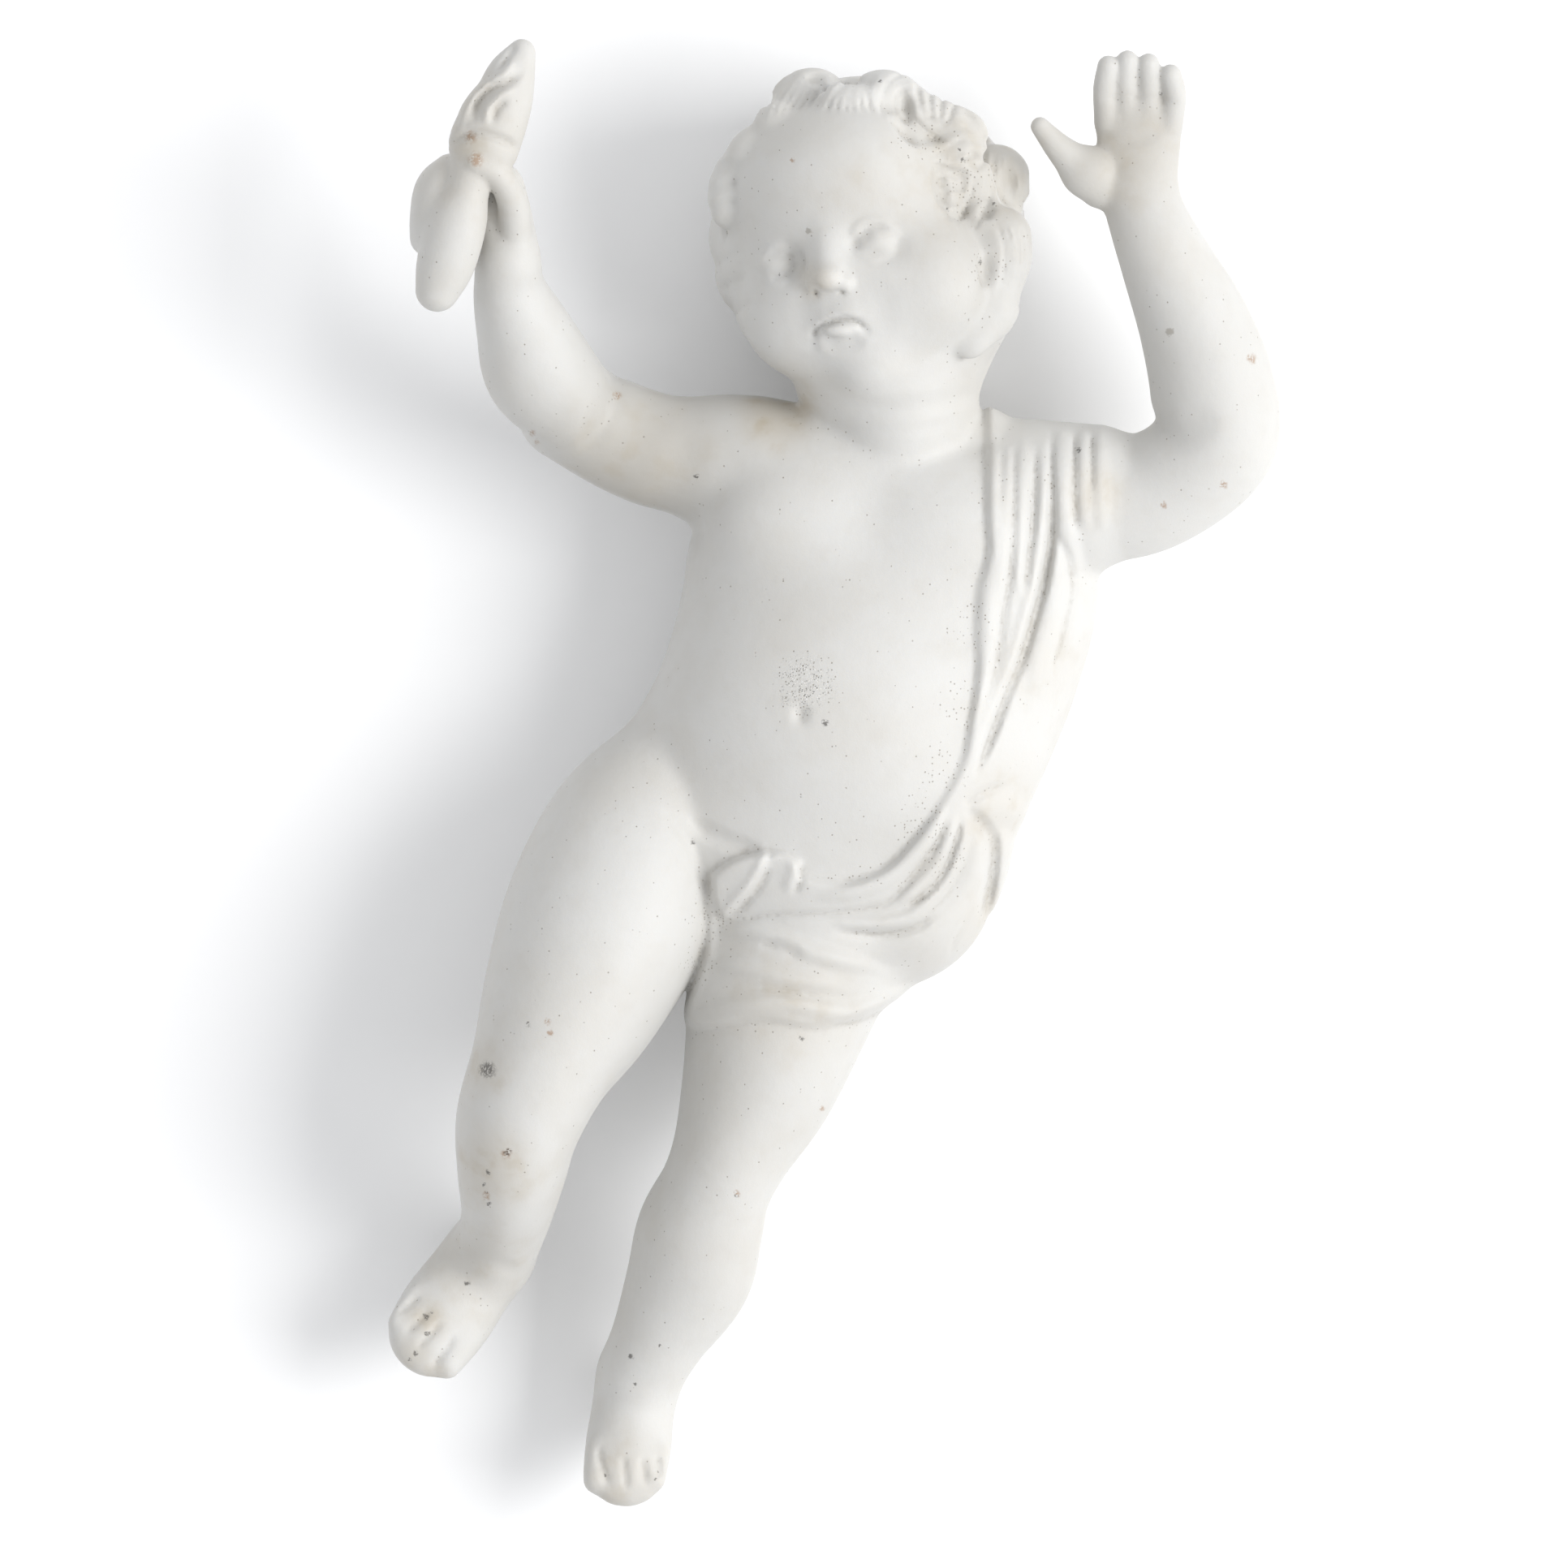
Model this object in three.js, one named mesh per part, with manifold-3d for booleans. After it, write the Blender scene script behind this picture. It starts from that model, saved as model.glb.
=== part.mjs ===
import * as THREE from "three";
import Module from "manifold-3d";

// A bisque putto lying on its back, a torch in its right hand and a cloth over its left shoulder and hips.
// Seen from above: x to the viewer's right, y to the top of the head, z to the viewer. It rests on z = 0.

// the figure's length from torch to toe, in mm
const LENGTH = 216;
// every other measure is in hundredths of that length
const HUNDREDTH = LENGTH / 100;
// the middle of the flat under the shoulder blades
const REST_SPOT = [2.5, 5.0, 0];
// the colour of fired clay without glaze
const BISQUE = 0xe0dfdb;
const BISQUE_ROUGHNESS = 0.75;
// how many faces the figure is cut down to
const FACES = 9500;

// the block that the figure is carved in, and its cells
const BLOCK_LOW = [-32.5, -61.5, -1.0];
const BLOCK_HIGH = [31.5, 42.0, 25.5];
const CELL = 0.5;
const FAR_OFF = 9;
const TINY = 1e-6;
// cells beyond a form's own reach that are still worked out
const SPARE = 0.6;
// links to each gap between stations of a limb, of a line in the view, and of the edge of a cloth
const LIMB_STEPS = 6;
const STROKE_STEPS = 8;
const EDGE_STEPS = 4;
const STROKE_FADE = 1.5;
// the share of a ridge that thins out at each of its ends
const STROKE_TAPER = 0.25;
const VIEW_AXES = [[1, 0, 0], [0, 1, 0], [0, 0, 1]];
const TO_VIEWER = new THREE.Vector3(0, 0, 1);

// the skin: corners of a cell, and how near a crossing may come to one
const CUBE_CORNERS = 8;
const CLOSEST = 0.1;
// thinning: the least size of a sum that can be solved, what an edge's length costs, and what a face may do
const FLAT_ENOUGH = 1e-5;
const LENGTH_WEIGHT = 1e-3;
const LEAST_TURN = 0.3;
const LEAST_BREADTH = 0.05;

// limbs and trunk: places along the middle, x, y, z, then half width and half depth
const TRUNK = [
  [3.2, 11.0, 8.6, 8.0, 6.2], [2.5, 7.5, 8.6, 12.8, 8.2], [3.05, 4.0, 8.7, 13.85, 8.8],
  [2.3, 0.0, 9.2, 13.7, 9.1], [1.0, -4.0, 9.6, 13.4, 9.5], [-0.6, -8.0, 9.6, 13.2, 9.6],
  [-2.3, -12.0, 9.2, 13.5, 9.2], [-3.5, -15.5, 8.9, 13.0, 8.8], [-4.0, -17.5, 8.7, 11.2, 7.8],
];
// how short the rounded ends of the trunk are for their width
const TRUNK_END = 0.45;
const SHOULDERS = [
  [-8.0, 11.7, 9.3, 4.3, 5.2], [-3.5, 11.5, 9.2, 4.2, 6.2], [3.0, 10.4, 9.2, 4.2, 6.8],
  [9.0, 9.1, 9.2, 4.2, 6.4], [14.0, 9.1, 9.5, 4.3, 5.6],
];
// soft forms of the trunk: centre, radii, blend
const TRUNK_FORMS = [
  [[-3.4, 7.6, 13.3], [5.6, 4.2, 3.8], 3.5],
  [[7.4, 6.8, 13.3], [5.6, 4.2, 3.8], 3.5],
  [[-0.8, -6.0, 12.8], [9.6, 9.0, 6.4], 4.0],
  [[-2.5, -14.0, 11.5], [6.5, 4.5, 5.6], 3.0],
  [[-3.0, 7.0, 3.6], [5.2, 5.5, 3.8], 2.5],
  [[8.6, 6.5, 3.6], [5.2, 5.5, 3.8], 2.5],
  [[-9.5, -17.0, 5.0], [6.6, 6.0, 5.1], 2.5],
  [[1.0, -18.5, 5.0], [6.6, 6.0, 5.1], 2.5],
  [[2.2, -17.9, 8.5], [7.1, 6.0, 7.6], 1.5],
  [[9.0, 12.6, 9.0], [2.6, 2.6, 4.5], 1.2],
];
const RIGHT_LEG = [
  [-11.5, -10.5, 9.6, 5.4, 5.6], [-14.2, -14.5, 11.2, 6.6, 6.8], [-16.3, -19.5, 12.6, 7.0, 7.2],
  [-18.4, -24.5, 13.8, 6.2, 6.6], [-20.5, -29.0, 14.8, 4.9, 5.6], [-22.2, -33.2, 14.6, 4.3, 4.9],
  [-22.7, -36.5, 12.6, 3.75, 4.5], [-23.1, -39.6, 9.6, 3.1, 3.8], [-23.9, -42.4, 6.8, 2.8, 3.4],
];
const LEFT_LEG = [
  [-2.2, -19.0, 9.4, 7.2, 7.6], [-4.2, -25.0, 10.0, 6.4, 7.0], [-5.75, -30.5, 10.6, 5.3, 6.1],
  [-7.55, -35.0, 11.0, 4.1, 5.2], [-8.8, -38.0, 10.6, 3.8, 4.7], [-9.9, -41.0, 9.5, 4.3, 4.8],
  [-10.6, -44.0, 8.6, 4.25, 4.5], [-12.4, -47.6, 7.6, 3.35, 3.8], [-13.9, -50.6, 6.6, 2.85, 3.3],
];
const LEFT_UPPER_ARM = [
  [12.5, 9.5, 9.5, 4.6, 5.6], [17.5, 9.3, 10.0, 4.5, 4.9], [21.5, 9.9, 10.9, 4.1, 4.4],
  [25.2, 13.0, 12.2, 4.3, 4.5], [25.2, 16.6, 13.2, 4.3, 4.4], [24.0, 20.8, 14.0, 3.85, 4.0],
  [22.2, 24.8, 14.7, 3.2, 3.4], [20.8, 28.0, 15.1, 2.75, 2.6], [20.1, 30.2, 15.4, 2.6, 2.0],
];
const LEFT_PALM = [
  [20.2, 30.0, 15.3, 2.4, 1.8], [20.1, 32.0, 15.5, 2.75, 1.5], [20.1, 34.0, 15.7, 2.95, 1.3],
  [20.1, 35.2, 15.8, 3.0, 1.1],
];
// fingers of the raised hand: foot, knuckle and tip in the view
const LEFT_FINGERS = [
  [[17.95, 34.8], [17.8, 37.0], [18.0, 38.6]],
  [[19.3, 35.0], [19.2, 37.4], [19.3, 38.95]],
  [[20.75, 35.0], [20.8, 37.3], [20.75, 38.75]],
  [[22.2, 34.6], [22.5, 36.6], [22.25, 38.0]],
];
const LEFT_THUMB = [
  [17.6, 30.6, 15.5, 1.7, 1.5], [15.8, 32.0, 16.2, 1.3, 1.2], [14.5, 33.2, 16.7, 0.95, 0.95],
  [13.35, 34.5, 17.1, 0.66, 0.66],
];
const RIGHT_UPPER_ARM = [
  [-6.5, 11.8, 9.5, 4.2, 5.4], [-11.5, 12.2, 9.8, 4.0, 4.8], [-15.0, 13.3, 10.2, 3.8, 4.3],
  [-18.8, 15.3, 11.2, 3.6, 4.0],
];
const RIGHT_FOREARM = [
  [-19.0, 15.9, 13.2, 3.4, 3.6], [-20.8, 17.9, 14.0, 3.8, 3.8], [-21.9, 20.6, 15.1, 3.2, 3.4],
  [-22.8, 23.2, 16.5, 2.5, 2.7], [-22.9, 25.6, 17.9, 2.1, 2.3],
];
const RIGHT_PALM = [
  [-22.9, 25.0, 17.8, 2.1, 2.1], [-23.2, 27.5, 18.0, 2.1, 1.6], [-23.9, 30.0, 18.2, 2.2, 1.5],
];
const RIGHT_THUMB = [
  [-22.4, 26.6, 18.6, 1.2, 1.3], [-22.6, 29.2, 20.2, 1.05, 1.1], [-23.5, 31.0, 21.7, 0.92, 0.9],
  [-25.1, 32.0, 22.6, 0.66, 0.66],
];
const RIGHT_FINGERS = [
  [-26.8, 31.3, 19.4, 1.3, 2.0], [-27.5, 30.0, 19.2, 1.8, 2.4], [-27.9, 28.2, 19.0, 1.7, 2.4],
  [-28.3, 26.9, 18.9, 1.3, 2.0],
];
const TORCH_HANDLE = [
  [-27.7, 23.3, 20.3, 1.5, 1.5], [-27.1, 25.2, 20.5, 2.0, 1.9], [-26.4, 27.8, 20.8, 2.05, 2.0],
  [-25.7, 30.0, 21.0, 1.55, 1.7], [-25.0, 32.2, 21.2, 1.7, 1.6], [-24.6, 33.4, 21.3, 2.2, 1.9],
];
const TORCH_FLAME = [
  [-24.5, 33.1, 21.3, 2.4, 2.0], [-23.95, 34.6, 21.4, 2.35, 2.0], [-23.2, 36.2, 21.5, 2.0, 1.8],
  [-22.7, 37.8, 21.5, 1.65, 1.4], [-21.95, 39.4, 21.5, 0.95, 0.85],
];
const NECK = [
  [3.2, 11.0, 8.8, 6.0, 6.4], [3.65, 14.0, 9.8, 5.5, 6.5], [3.65, 16.5, 10.7, 5.55, 7.0],
  [3.4, 19.0, 11.2, 5.9, 7.6],
];

// the head has its own axes: its right, its top and the way it faces
const HEAD = [1.3, 28.3, 11.2];
const HEAD_RIGHT = [0.932, 0.215, 0.292];
const HEAD_UP = [-0.225, 0.974, 0.0];
const HEAD_FRONT = [-0.285, -0.066, 0.956];
const HEAD_AXES = [HEAD_RIGHT, HEAD_UP, HEAD_FRONT];
const SKULL_FORMS = [
  [[0, 0.8, -0.2], [9.2, 9.0, 10.3], 0.5],
  [[0, -4.4, 3.4], [8.3, 7.6, 7.0], 2.5],
  [[-4.4, -5.4, 5.6], [3.7, 4.0, 3.7], 1.8],
  [[5.0, -5.2, 5.2], [4.1, 4.3, 3.9], 2.0],
  [[0.3, -9.9, 6.6], [2.4, 1.9, 2.2], 1.8],
  [[0, -6.6, 7.5], [3.0, 2.6, 2.2], 1.6],
  [[0, 3.6, 5.4], [6.4, 4.4, 4.6], 2.5],
];
const DOUBLE_CHIN = [[1.75, 16.8, 12.6], [4.85, 3.2, 4.9], 2.0];
const HAIR_CAP = [[1.7, 27.7, 9.5], [10.7, 9.8, 9.4], 0.6];
// broad masses of hair beside the face, so that it runs into the cheeks softly
const HAIR_MASSES = [
  [[9.9, 26.0, 13.6], [2.4, 3.6, 4.6], 1.6],
  [[9.3, 22.6, 13.2], [2.2, 3.2, 4.6], 1.6],
  [[8.2, 20.0, 13.0], [2.0, 2.2, 4.0], 1.4],
  [[-7.3, 30.2, 12.6], [1.4, 2.8, 3.6], 1.2],
  [[-6.6, 26.0, 12.2], [1.6, 3.4, 3.4], 1.4],
  [[-5.9, 22.4, 11.6], [1.5, 2.6, 3.6], 1.4],
];
// tufts round the head in the view: x, y, half width, half height, thickness, turn in degrees
const TUFTS = [
  [-2.6, 36.5, 2.6, 2.0, 2.0, 20], [-4.7, 34.9, 1.6, 1.3, 1.5, 50], [0.4, 36.1, 2.3, 1.5, 1.6, 0],
  [2.9, 36.5, 2.5, 1.9, 1.9, -10], [5.2, 35.4, 1.9, 1.5, 1.6, -30], [6.9, 34.7, 2.3, 1.5, 1.8, -15],
  [8.2, 33.4, 1.6, 2.0, 1.9, -20], [7.4, 32.6, 2.2, 1.4, 1.5, 10], [10.7, 30.9, 2.1, 2.5, 1.9, 15],
  [8.7, 30.2, 1.8, 2.4, 1.6, 10], [9.3, 28.0, 1.6, 1.5, 1.5, 30], [11.0, 26.0, 2.0, 3.0, 1.8, 0],
  [10.2, 22.8, 1.9, 3.0, 1.5, -8], [8.9, 20.4, 1.5, 2.0, 1.5, -20], [-6.7, 32.9, 1.2, 1.7, 1.6, -35],
  [-8.1, 30.1, 1.2, 2.4, 1.6, -5],
];
// tufts that lie behind the cheek, with their middle at a height of their own
const LOW_TUFTS = [
  [-7.7, 26.9, 1.55, 2.2, 2.4, 5, 9.5], [-7.15, 24.0, 1.55, 2.3, 2.4, 22, 9.4],
  [-5.8, 21.6, 1.4, 2.0, 2.2, 40, 9.6], [-4.2, 19.9, 0.9, 1.3, 1.8, 42, 9.8],
];
// hollows between the locks: x, y, half width, half height, depth, turn
const HAIR_PITS = [
  [-1.9, 37.9, 0.75, 0.35, 0.8, 0], [4.15, 36.0, 0.75, 1.4, 1.7, 10], [8.8, 32.1, 0.8, 0.45, 1.1, 30],
  [6.7, 30.4, 0.8, 1.8, 1.3, 10], [-8.3, 27.6, 0.45, 0.75, 0.7, 0], [11.4, 30.6, 0.5, 1.2, 0.6, 10],
  [9.6, 24.6, 0.6, 1.1, 0.7, 0], [4.4, 34.1, 0.9, 0.6, 0.8, -40], [9.9, 29.0, 0.4, 0.9, 0.7, -20],
];
const CLOTH_EDGE = [
  [9.8, 17.5], [9.8, 12.0], [9.8, 8.2], [9.9, 5.6], [9.2, 2.8], [9.05, -0.4], [9.1, -2.9], [8.6, -6.3],
  [7.9, -9.4], [6.0, -12.6], [4.5, -14.5], [3.0, -16.0], [1.4, -16.8], [-0.2, -17.1], [-2.8, -16.6],
  [-3.2, -15.7], [-4.4, -15.2], [-5.3, -15.1], [-7.3, -15.4], [-8.8, -16.4], [-8.9, -18.0],
  [-9.0, -21.5], [-9.9, -24.0], [-10.9, -26.0], [-10.0, -27.0], [-7.0, -26.5], [-5.0, -26.4],
  [-2.4, -26.8], [-0.1, -26.5], [3.1, -25.4], [6.0, -24.4], [12.0, -19.0], [16.0, -8.0], [19.0, 0.0],
  [18.6, 4.0], [17.8, 6.0], [18.0, 10.0], [18.1, 17.5],
];
const CLOTH_THICKNESS = 0.5;
// the leaf of the knot: its outline and thickness
const LEAF_EDGE = [
  [-9.0, -16.5], [-7.4, -15.5], [-5.3, -15.0], [-6.3, -17.2], [-7.4, -18.5], [-8.3, -19.4],
  [-8.8, -18.2],
];
const LEAF_THICKNESS = 0.4;
// folds: the line in the view, half width, height
const FOLDS = [
  [[[10.3, 13.4], [10.3, 9], [10.4, 5], [10.0, 1.8], [9.8, -2.5], [9.1, -6.7], [8.5, -9.5]], 0.8, 0.2],
  [[[11.2, 13.4], [11.15, 8], [11.0, 5], [10.6, 1.8]], 0.6, 0.14],
  [[[12.3, 13.4], [12.1, 9], [11.95, 5.5], [12.1, 2.2]], 0.8, 0.22],
  [
    [[13.6, 13.4], [13.6, 9.2], [13.4, 5.6], [12.9, 3.0], [12.3, 0.5], [11.2, -3.5], [9.7, -7.4]],
    0.8,
    0.25,
  ],
  [[[14.9, 14.2], [15.0, 9.2], [15.3, 6.4], [15.9, 4.0]], 1.0, 0.29],
  [[[14.4, 6.4], [14.75, 3.5], [14.3, 0.7], [13.6, -1.5], [12.9, -4.0]], 1.2, 0.36],
  [[[16.4, 14.2], [16.3, 10], [16.5, 7]], 0.7, 0.2],
  [[[17.5, 14.2], [17.5, 10], [17.6, 7]], 0.8, 0.18],
  [[[9.3, -12.2], [10.8, -11.9], [12.0, -12.6]], 1.4, 0.22],
  [[[6.9, -12.0], [5.9, -13.7], [4.5, -15.4], [3.0, -16.7], [0.7, -17.7], [-2, -18.1]], 0.8, 0.36],
  [[[7.6, -12.3], [7.1, -14.2], [6.2, -16.1], [4.9, -17.5], [3.6, -18.4]], 0.65, 0.3],
  [
    [[8.4, -13.0], [8.0, -14.6], [7.2, -16.5], [6.0, -18.1], [4.5, -19.4], [2.2, -19.9], [-0.9, -19.8]],
    0.75,
    0.42,
  ],
  [[[9.0, -13.4], [9.2, -14.9], [8.6, -17.5], [7.2, -19.6], [4.5, -21.3], [1.0, -22.2]], 1.4, 0.42],
  [[[-8.4, -20.4], [-6.5, -20.3], [-4.5, -20.8], [-2.4, -21.7], [0.0, -22.4], [3, -23.1]], 0.9, 0.32],
  [[[-8.9, -22.6], [-6.5, -22.9], [-3.5, -23.6], [0, -24.0]], 0.8, 0.21],
  [
    [[-9.9, -25.8], [-7, -25.4], [-3.9, -25.3], [-1.6, -25.7], [0.6, -25.9], [3, -25.0], [5, -24.2]],
    0.9,
    0.34,
  ],
  [[[10.9, -13.5], [11.0, -16.5], [10.1, -19.5]], 0.9, 0.26],
  [[[-5.25, -15.2], [-6.3, -17.2], [-8.2, -19.2]], 0.55, 0.24],
  [[[-5.0, -15.3], [-4.2, -15.2], [-3.4, -15.6]], 0.4, 0.16],
  [[[-3.35, -15.5], [-3.5, -16.6], [-3.9, -17.4]], 0.5, 0.26],
];
const VALLEYS = [
  [[[10.75, 12.4], [10.65, 8.8]], 0.3, 0.08],
  [
    [[11.6, 12.8], [11.55, 7.7], [11.4, 4.8], [10.95, 1.8], [10.5, -1.4], [9.7, -4.6], [9.0, -6.8]],
    0.5,
    0.24,
  ],
  [[[13.1, 12.8], [12.9, 7.7], [12.5, 4.8], [12.3, 2.4]], 0.5, 0.24],
  [
    [
      [14.15, 14.0], [14.15, 7.3], [13.7, 3.9], [13.0, 1.3], [12.0, -1.9], [10.9, -4.6], [9.9, -7.4],
      [8.9, -9.9],
    ],
    0.6,
    0.6,
  ],
  [[[15.75, 13.8], [15.65, 9.7], [15.85, 6.7]], 0.4, 0.24],
  [[[14.5, 6.8], [15.3, 4.8], [15.5, 2.7], [14.8, -0.6], [14.1, -2.5]], 0.55, 0.24],
  [[[16.9, 13.6], [16.9, 9.6]], 0.35, 0.17],
  [[[8.2, -11.9], [9.3, -11.0], [11.0, -10.3]], 0.55, 0.2],
  [
    [
      [6.9, -12.5], [6.5, -14.0], [5.7, -15.2], [4.6, -16.7], [3.4, -18.0], [2.0, -18.75],
      [-0.9, -19.15], [-5.4, -19.3], [-8.2, -19.8],
    ],
    0.45,
    0.24,
  ],
  [[[8.0, -12.8], [7.7, -14.0], [7.1, -15.8], [6.3, -17.2], [5.2, -18.1], [4.3, -18.6]], 0.4, 0.24],
  [[[-0.8, -20.4], [2.0, -20.6], [4.5, -20.3], [6.2, -19.4]], 0.5, 0.2],
  [[[8.3, -12.0], [9.4, -13.1], [10.05, -14.3], [10.0, -16.4], [9.8, -18.0], [9.4, -19.7]], 0.8, 0.4],
  [[[-5.6, -21.2], [-4.2, -21.4], [-2.9, -22.1]], 0.55, 0.28],
  [[[8.8, -18.7], [7.9, -20.4], [7.1, -22.1]], 0.35, 0.1],
  [[[-9.0, -24.2], [-6, -24.3], [-2, -24.7], [1.0, -24.9]], 0.5, 0.12],
  [[[-5.0, -15.9], [-6.0, -17.6], [-7.6, -19.4]], 0.4, 0.2],
  [[[-2.9, -15.9], [-3.0, -16.9], [-3.5, -17.8]], 0.4, 0.2],
];
// flicks of the flame
const FLICKS = [
  [[[-26.2, 34.2], [-25.6, 35.8], [-24.6, 37.0], [-23.2, 37.9], [-22.4, 38.9]], 0.5, 0.35],
  [[[-25.2, 34.6], [-24.9, 36.0], [-24.0, 37.0], [-22.8, 37.4], [-21.8, 38.2]], 0.45, -0.3],
  [[[-24.4, 34.5], [-24.2, 35.6], [-23.4, 36.4], [-22.4, 36.9]], 0.4, 0.3],
  [[[-23.9, 34.6], [-23.6, 35.5], [-22.9, 36.1]], 0.35, -0.25],
  [[[-26.9, 33.0], [-25.4, 33.9], [-23.4, 33.5], [-22.2, 32.8]], 0.5, -0.3],
  [[[-23.5, 38.2], [-22.8, 39.2], [-22.3, 39.9]], 0.35, -0.2],
];

// feet: how far ahead of the heel, height, half width, half depth; toes: aside, ahead, radius
const FOOT = [
  [-0.4, 3.9, 2.6, 3.4], [1.6, 5.2, 2.75, 3.4], [3.8, 6.9, 2.95, 2.7], [5.3, 8.1, 2.85, 2.0],
  [5.9, 8.5, 2.6, 1.6],
];
const TOE_GROOVES = [
  [[-16.8, -55.7], [-16.6, -57.0], [-16.1, -58.3]],
  [[-15.1, -56.4], [-15.0, -57.4], [-14.9, -58.6]],
  [[-13.8, -56.5], [-13.7, -57.3], [-13.6, -58.2]],
  [[-12.8, -56.4], [-12.7, -57.0], [-12.6, -57.7]],
  [[-28.3, -46.3], [-29.1, -47.1], [-30.0, -47.9]],
  [[-27.5, -47.1], [-28.4, -48.1], [-29.3, -49.0]],
  [[-26.6, -48.1], [-27.4, -49.2], [-28.2, -50.2]],
  [[-29.1, -45.4], [-29.8, -46.0], [-30.5, -46.6]],
];
const TOES = [
  [-1.9, 6.2, 0.98], [-0.6, 6.8, 0.8], [0.45, 6.75, 0.74], [1.4, 6.4, 0.7], [2.2, 5.8, 0.66],
];
const TOE_BENDS = [[-1.6, 8.5, 1.0], [-0.2, 9.2, 1.0], [0.5, 9.5, 0.95]];
const LEFT_HEEL = [-14.3, -51.6];
const LEFT_FOOT_AHEAD = [-0.115, -0.993];
const LEFT_FOOT_SIZE = 1.0;
const RIGHT_FOOT_SIZE = 1.12;
const RIGHT_HEEL = [-24.6, -42.8];
const RIGHT_FOOT_AHEAD = [-0.57, -0.82];

// the face in the view: x, y, then height over the skin, then sizes
const EYES = [[-4.55, 25.1, 1.25, 1.2], [2.2, 26.65, 1.75, 1.3]];
const EYE_CORNERS = [
  [-3.0, 25.3, 0.6, 0.45, 0.8, 0.6], [0.6, 26.6, 0.45, 0.45, 0.7, 0.5],
  [1.3, 27.0, 0.42, 0.55, 0.5, 0.5],
];
// lids: a line over and under each eye, half width, height
const LIDS = [
  [[[-6.0, 24.9], [-5.4, 26.0], [-4.6, 26.4], [-3.6, 25.9]], 0.55, 0.24],
  [[[-5.6, 24.2], [-4.7, 23.85], [-3.9, 24.1]], 0.5, 0.16],
  [[[0.3, 26.6], [1.2, 27.9], [2.6, 28.05], [4.0, 26.9]], 0.55, 0.26],
  [[[0.7, 25.9], [2.1, 25.5], [3.6, 26.1]], 0.5, 0.18],
];
const NOSE_RIDGE = [
  [-0.9, 27.6, -1.3, 0.9, 0.9], [-0.9, 26.4, -0.75, 0.9, 0.95], [-0.85, 25.3, -0.35, 0.9, 0.95],
  [-0.85, 24.6, -0.05, 1.0, 1.0],
];
const NOSE_FORMS = [
  [-0.85, 24.1, 0.35, 1.0, 0.85, 1.0], [-1.75, 23.6, -0.25, 0.65, 0.65, 0.85],
  [0.0, 23.75, -0.2, 0.7, 0.65, 0.8],
];
const NOSTRILS = [[-2.0, 23.0, 0.1, 0.28, 0.28, 0.5], [-0.2, 23.1, 0.1, 0.26, 0.2, 0.4]];
const UPPER_LIP = [
  [-1.6, 21.0, -0.45, 0.35, 0.35], [-1.0, 21.5, -0.42, 0.45, 0.4], [-0.1, 21.85, -0.36, 0.55, 0.42],
  [0.6, 21.7, -0.38, 0.45, 0.38], [1.1, 21.3, -0.45, 0.3, 0.35],
];
const LOWER_LIP = [-0.2, 20.55, -0.35, 1.25, 0.6, 0.7];
const MOUTH_LINE = [
  [-2.0, 20.2], [-1.6, 20.85], [-0.8, 21.15], [0.05, 21.3], [0.9, 21.1], [1.3, 20.7],
];
// soft dents of the face, neck and body: the line, half width, depth
const DENTS = [
  [[[-7.0, 31.9], [-8.0, 31.8], [-8.9, 31.2]], 0.6, 0.14],
  [[[-7.2, 30.7], [-8.2, 30.5], [-9.1, 30.0]], 0.6, 0.14],
  [[[-7.3, 29.4], [-8.3, 29.2], [-9.2, 28.8]], 0.6, 0.14],
  [[[-7.0, 25.9], [-7.9, 25.6], [-8.7, 25.1]], 0.6, 0.12],
  [[[-6.7, 24.2], [-7.6, 23.9], [-8.3, 23.4]], 0.6, 0.12],
  [[[-6.0, 22.6], [-6.8, 22.2], [-7.4, 21.8]], 0.6, 0.12],
  [[[-2.4, 23.8], [-2.8, 22.4], [-2.5, 20.9], [-2.2, 19.3]], 1.3, 0.12],
  [[[1.2, 23.9], [2.2, 22.3], [2.3, 20.6]], 1.8, 0.15],
  [[[-1.4, 19.9], [-0.1, 19.6], [1.2, 19.9]], 0.9, 0.22],
  [[[-2.0, 20.7], [-2.1, 19.9], [-1.9, 19.3]], 0.6, 0.08],
  [[[1.1, 20.9], [1.6, 20.3]], 0.5, 0.12],
  [[[-3.5, 15.9], [0.5, 15.2], [5.0, 15.3], [9.3, 16.4]], 1.1, 0.18],
  [[[-2.0, 14.5], [3.0, 13.9], [8.0, 14.4]], 0.9, 0.1],
  [[[2.2, 9.0], [2.3, 6.5], [1.8, 3.5]], 3.4, 0.08],
  [[[-10.6, -12.9], [-8.0, -14.2], [-5.6, -15.1]], 0.9, 0.25],
  [[[-12.4, -12.0], [-10.3, -14.7], [-9.3, -18.0]], 0.7, 0.15],
  [[[-15.4, 17.8], [-16.0, 16.2], [-16.7, 14.6], [-17.8, 12.6]], 1.3, 0.22],
  [[[20.6, 14.4], [22.6, 13.7], [24.8, 14.3]], 2.0, 0.25],
  [[[-26.5, -42.2], [-24.5, -42.9], [-22.4, -43.6]], 1.0, 0.15],
  [[[17.4, 33.9], [19.0, 33.5], [21.5, 33.9]], 0.7, 0.15],
  [[[17.2, 36.3], [19.5, 36.5], [21.5, 36.3], [23.0, 35.9]], 0.5, 0.1],
  [[[-12.8, 8.8], [-11.4, 10.6], [-10.6, 13.0]], 2.0, 0.12],
];
const NAVEL = [-3.0, -5.6, 0.3, 0.45, 0.6, 0.6];

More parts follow.
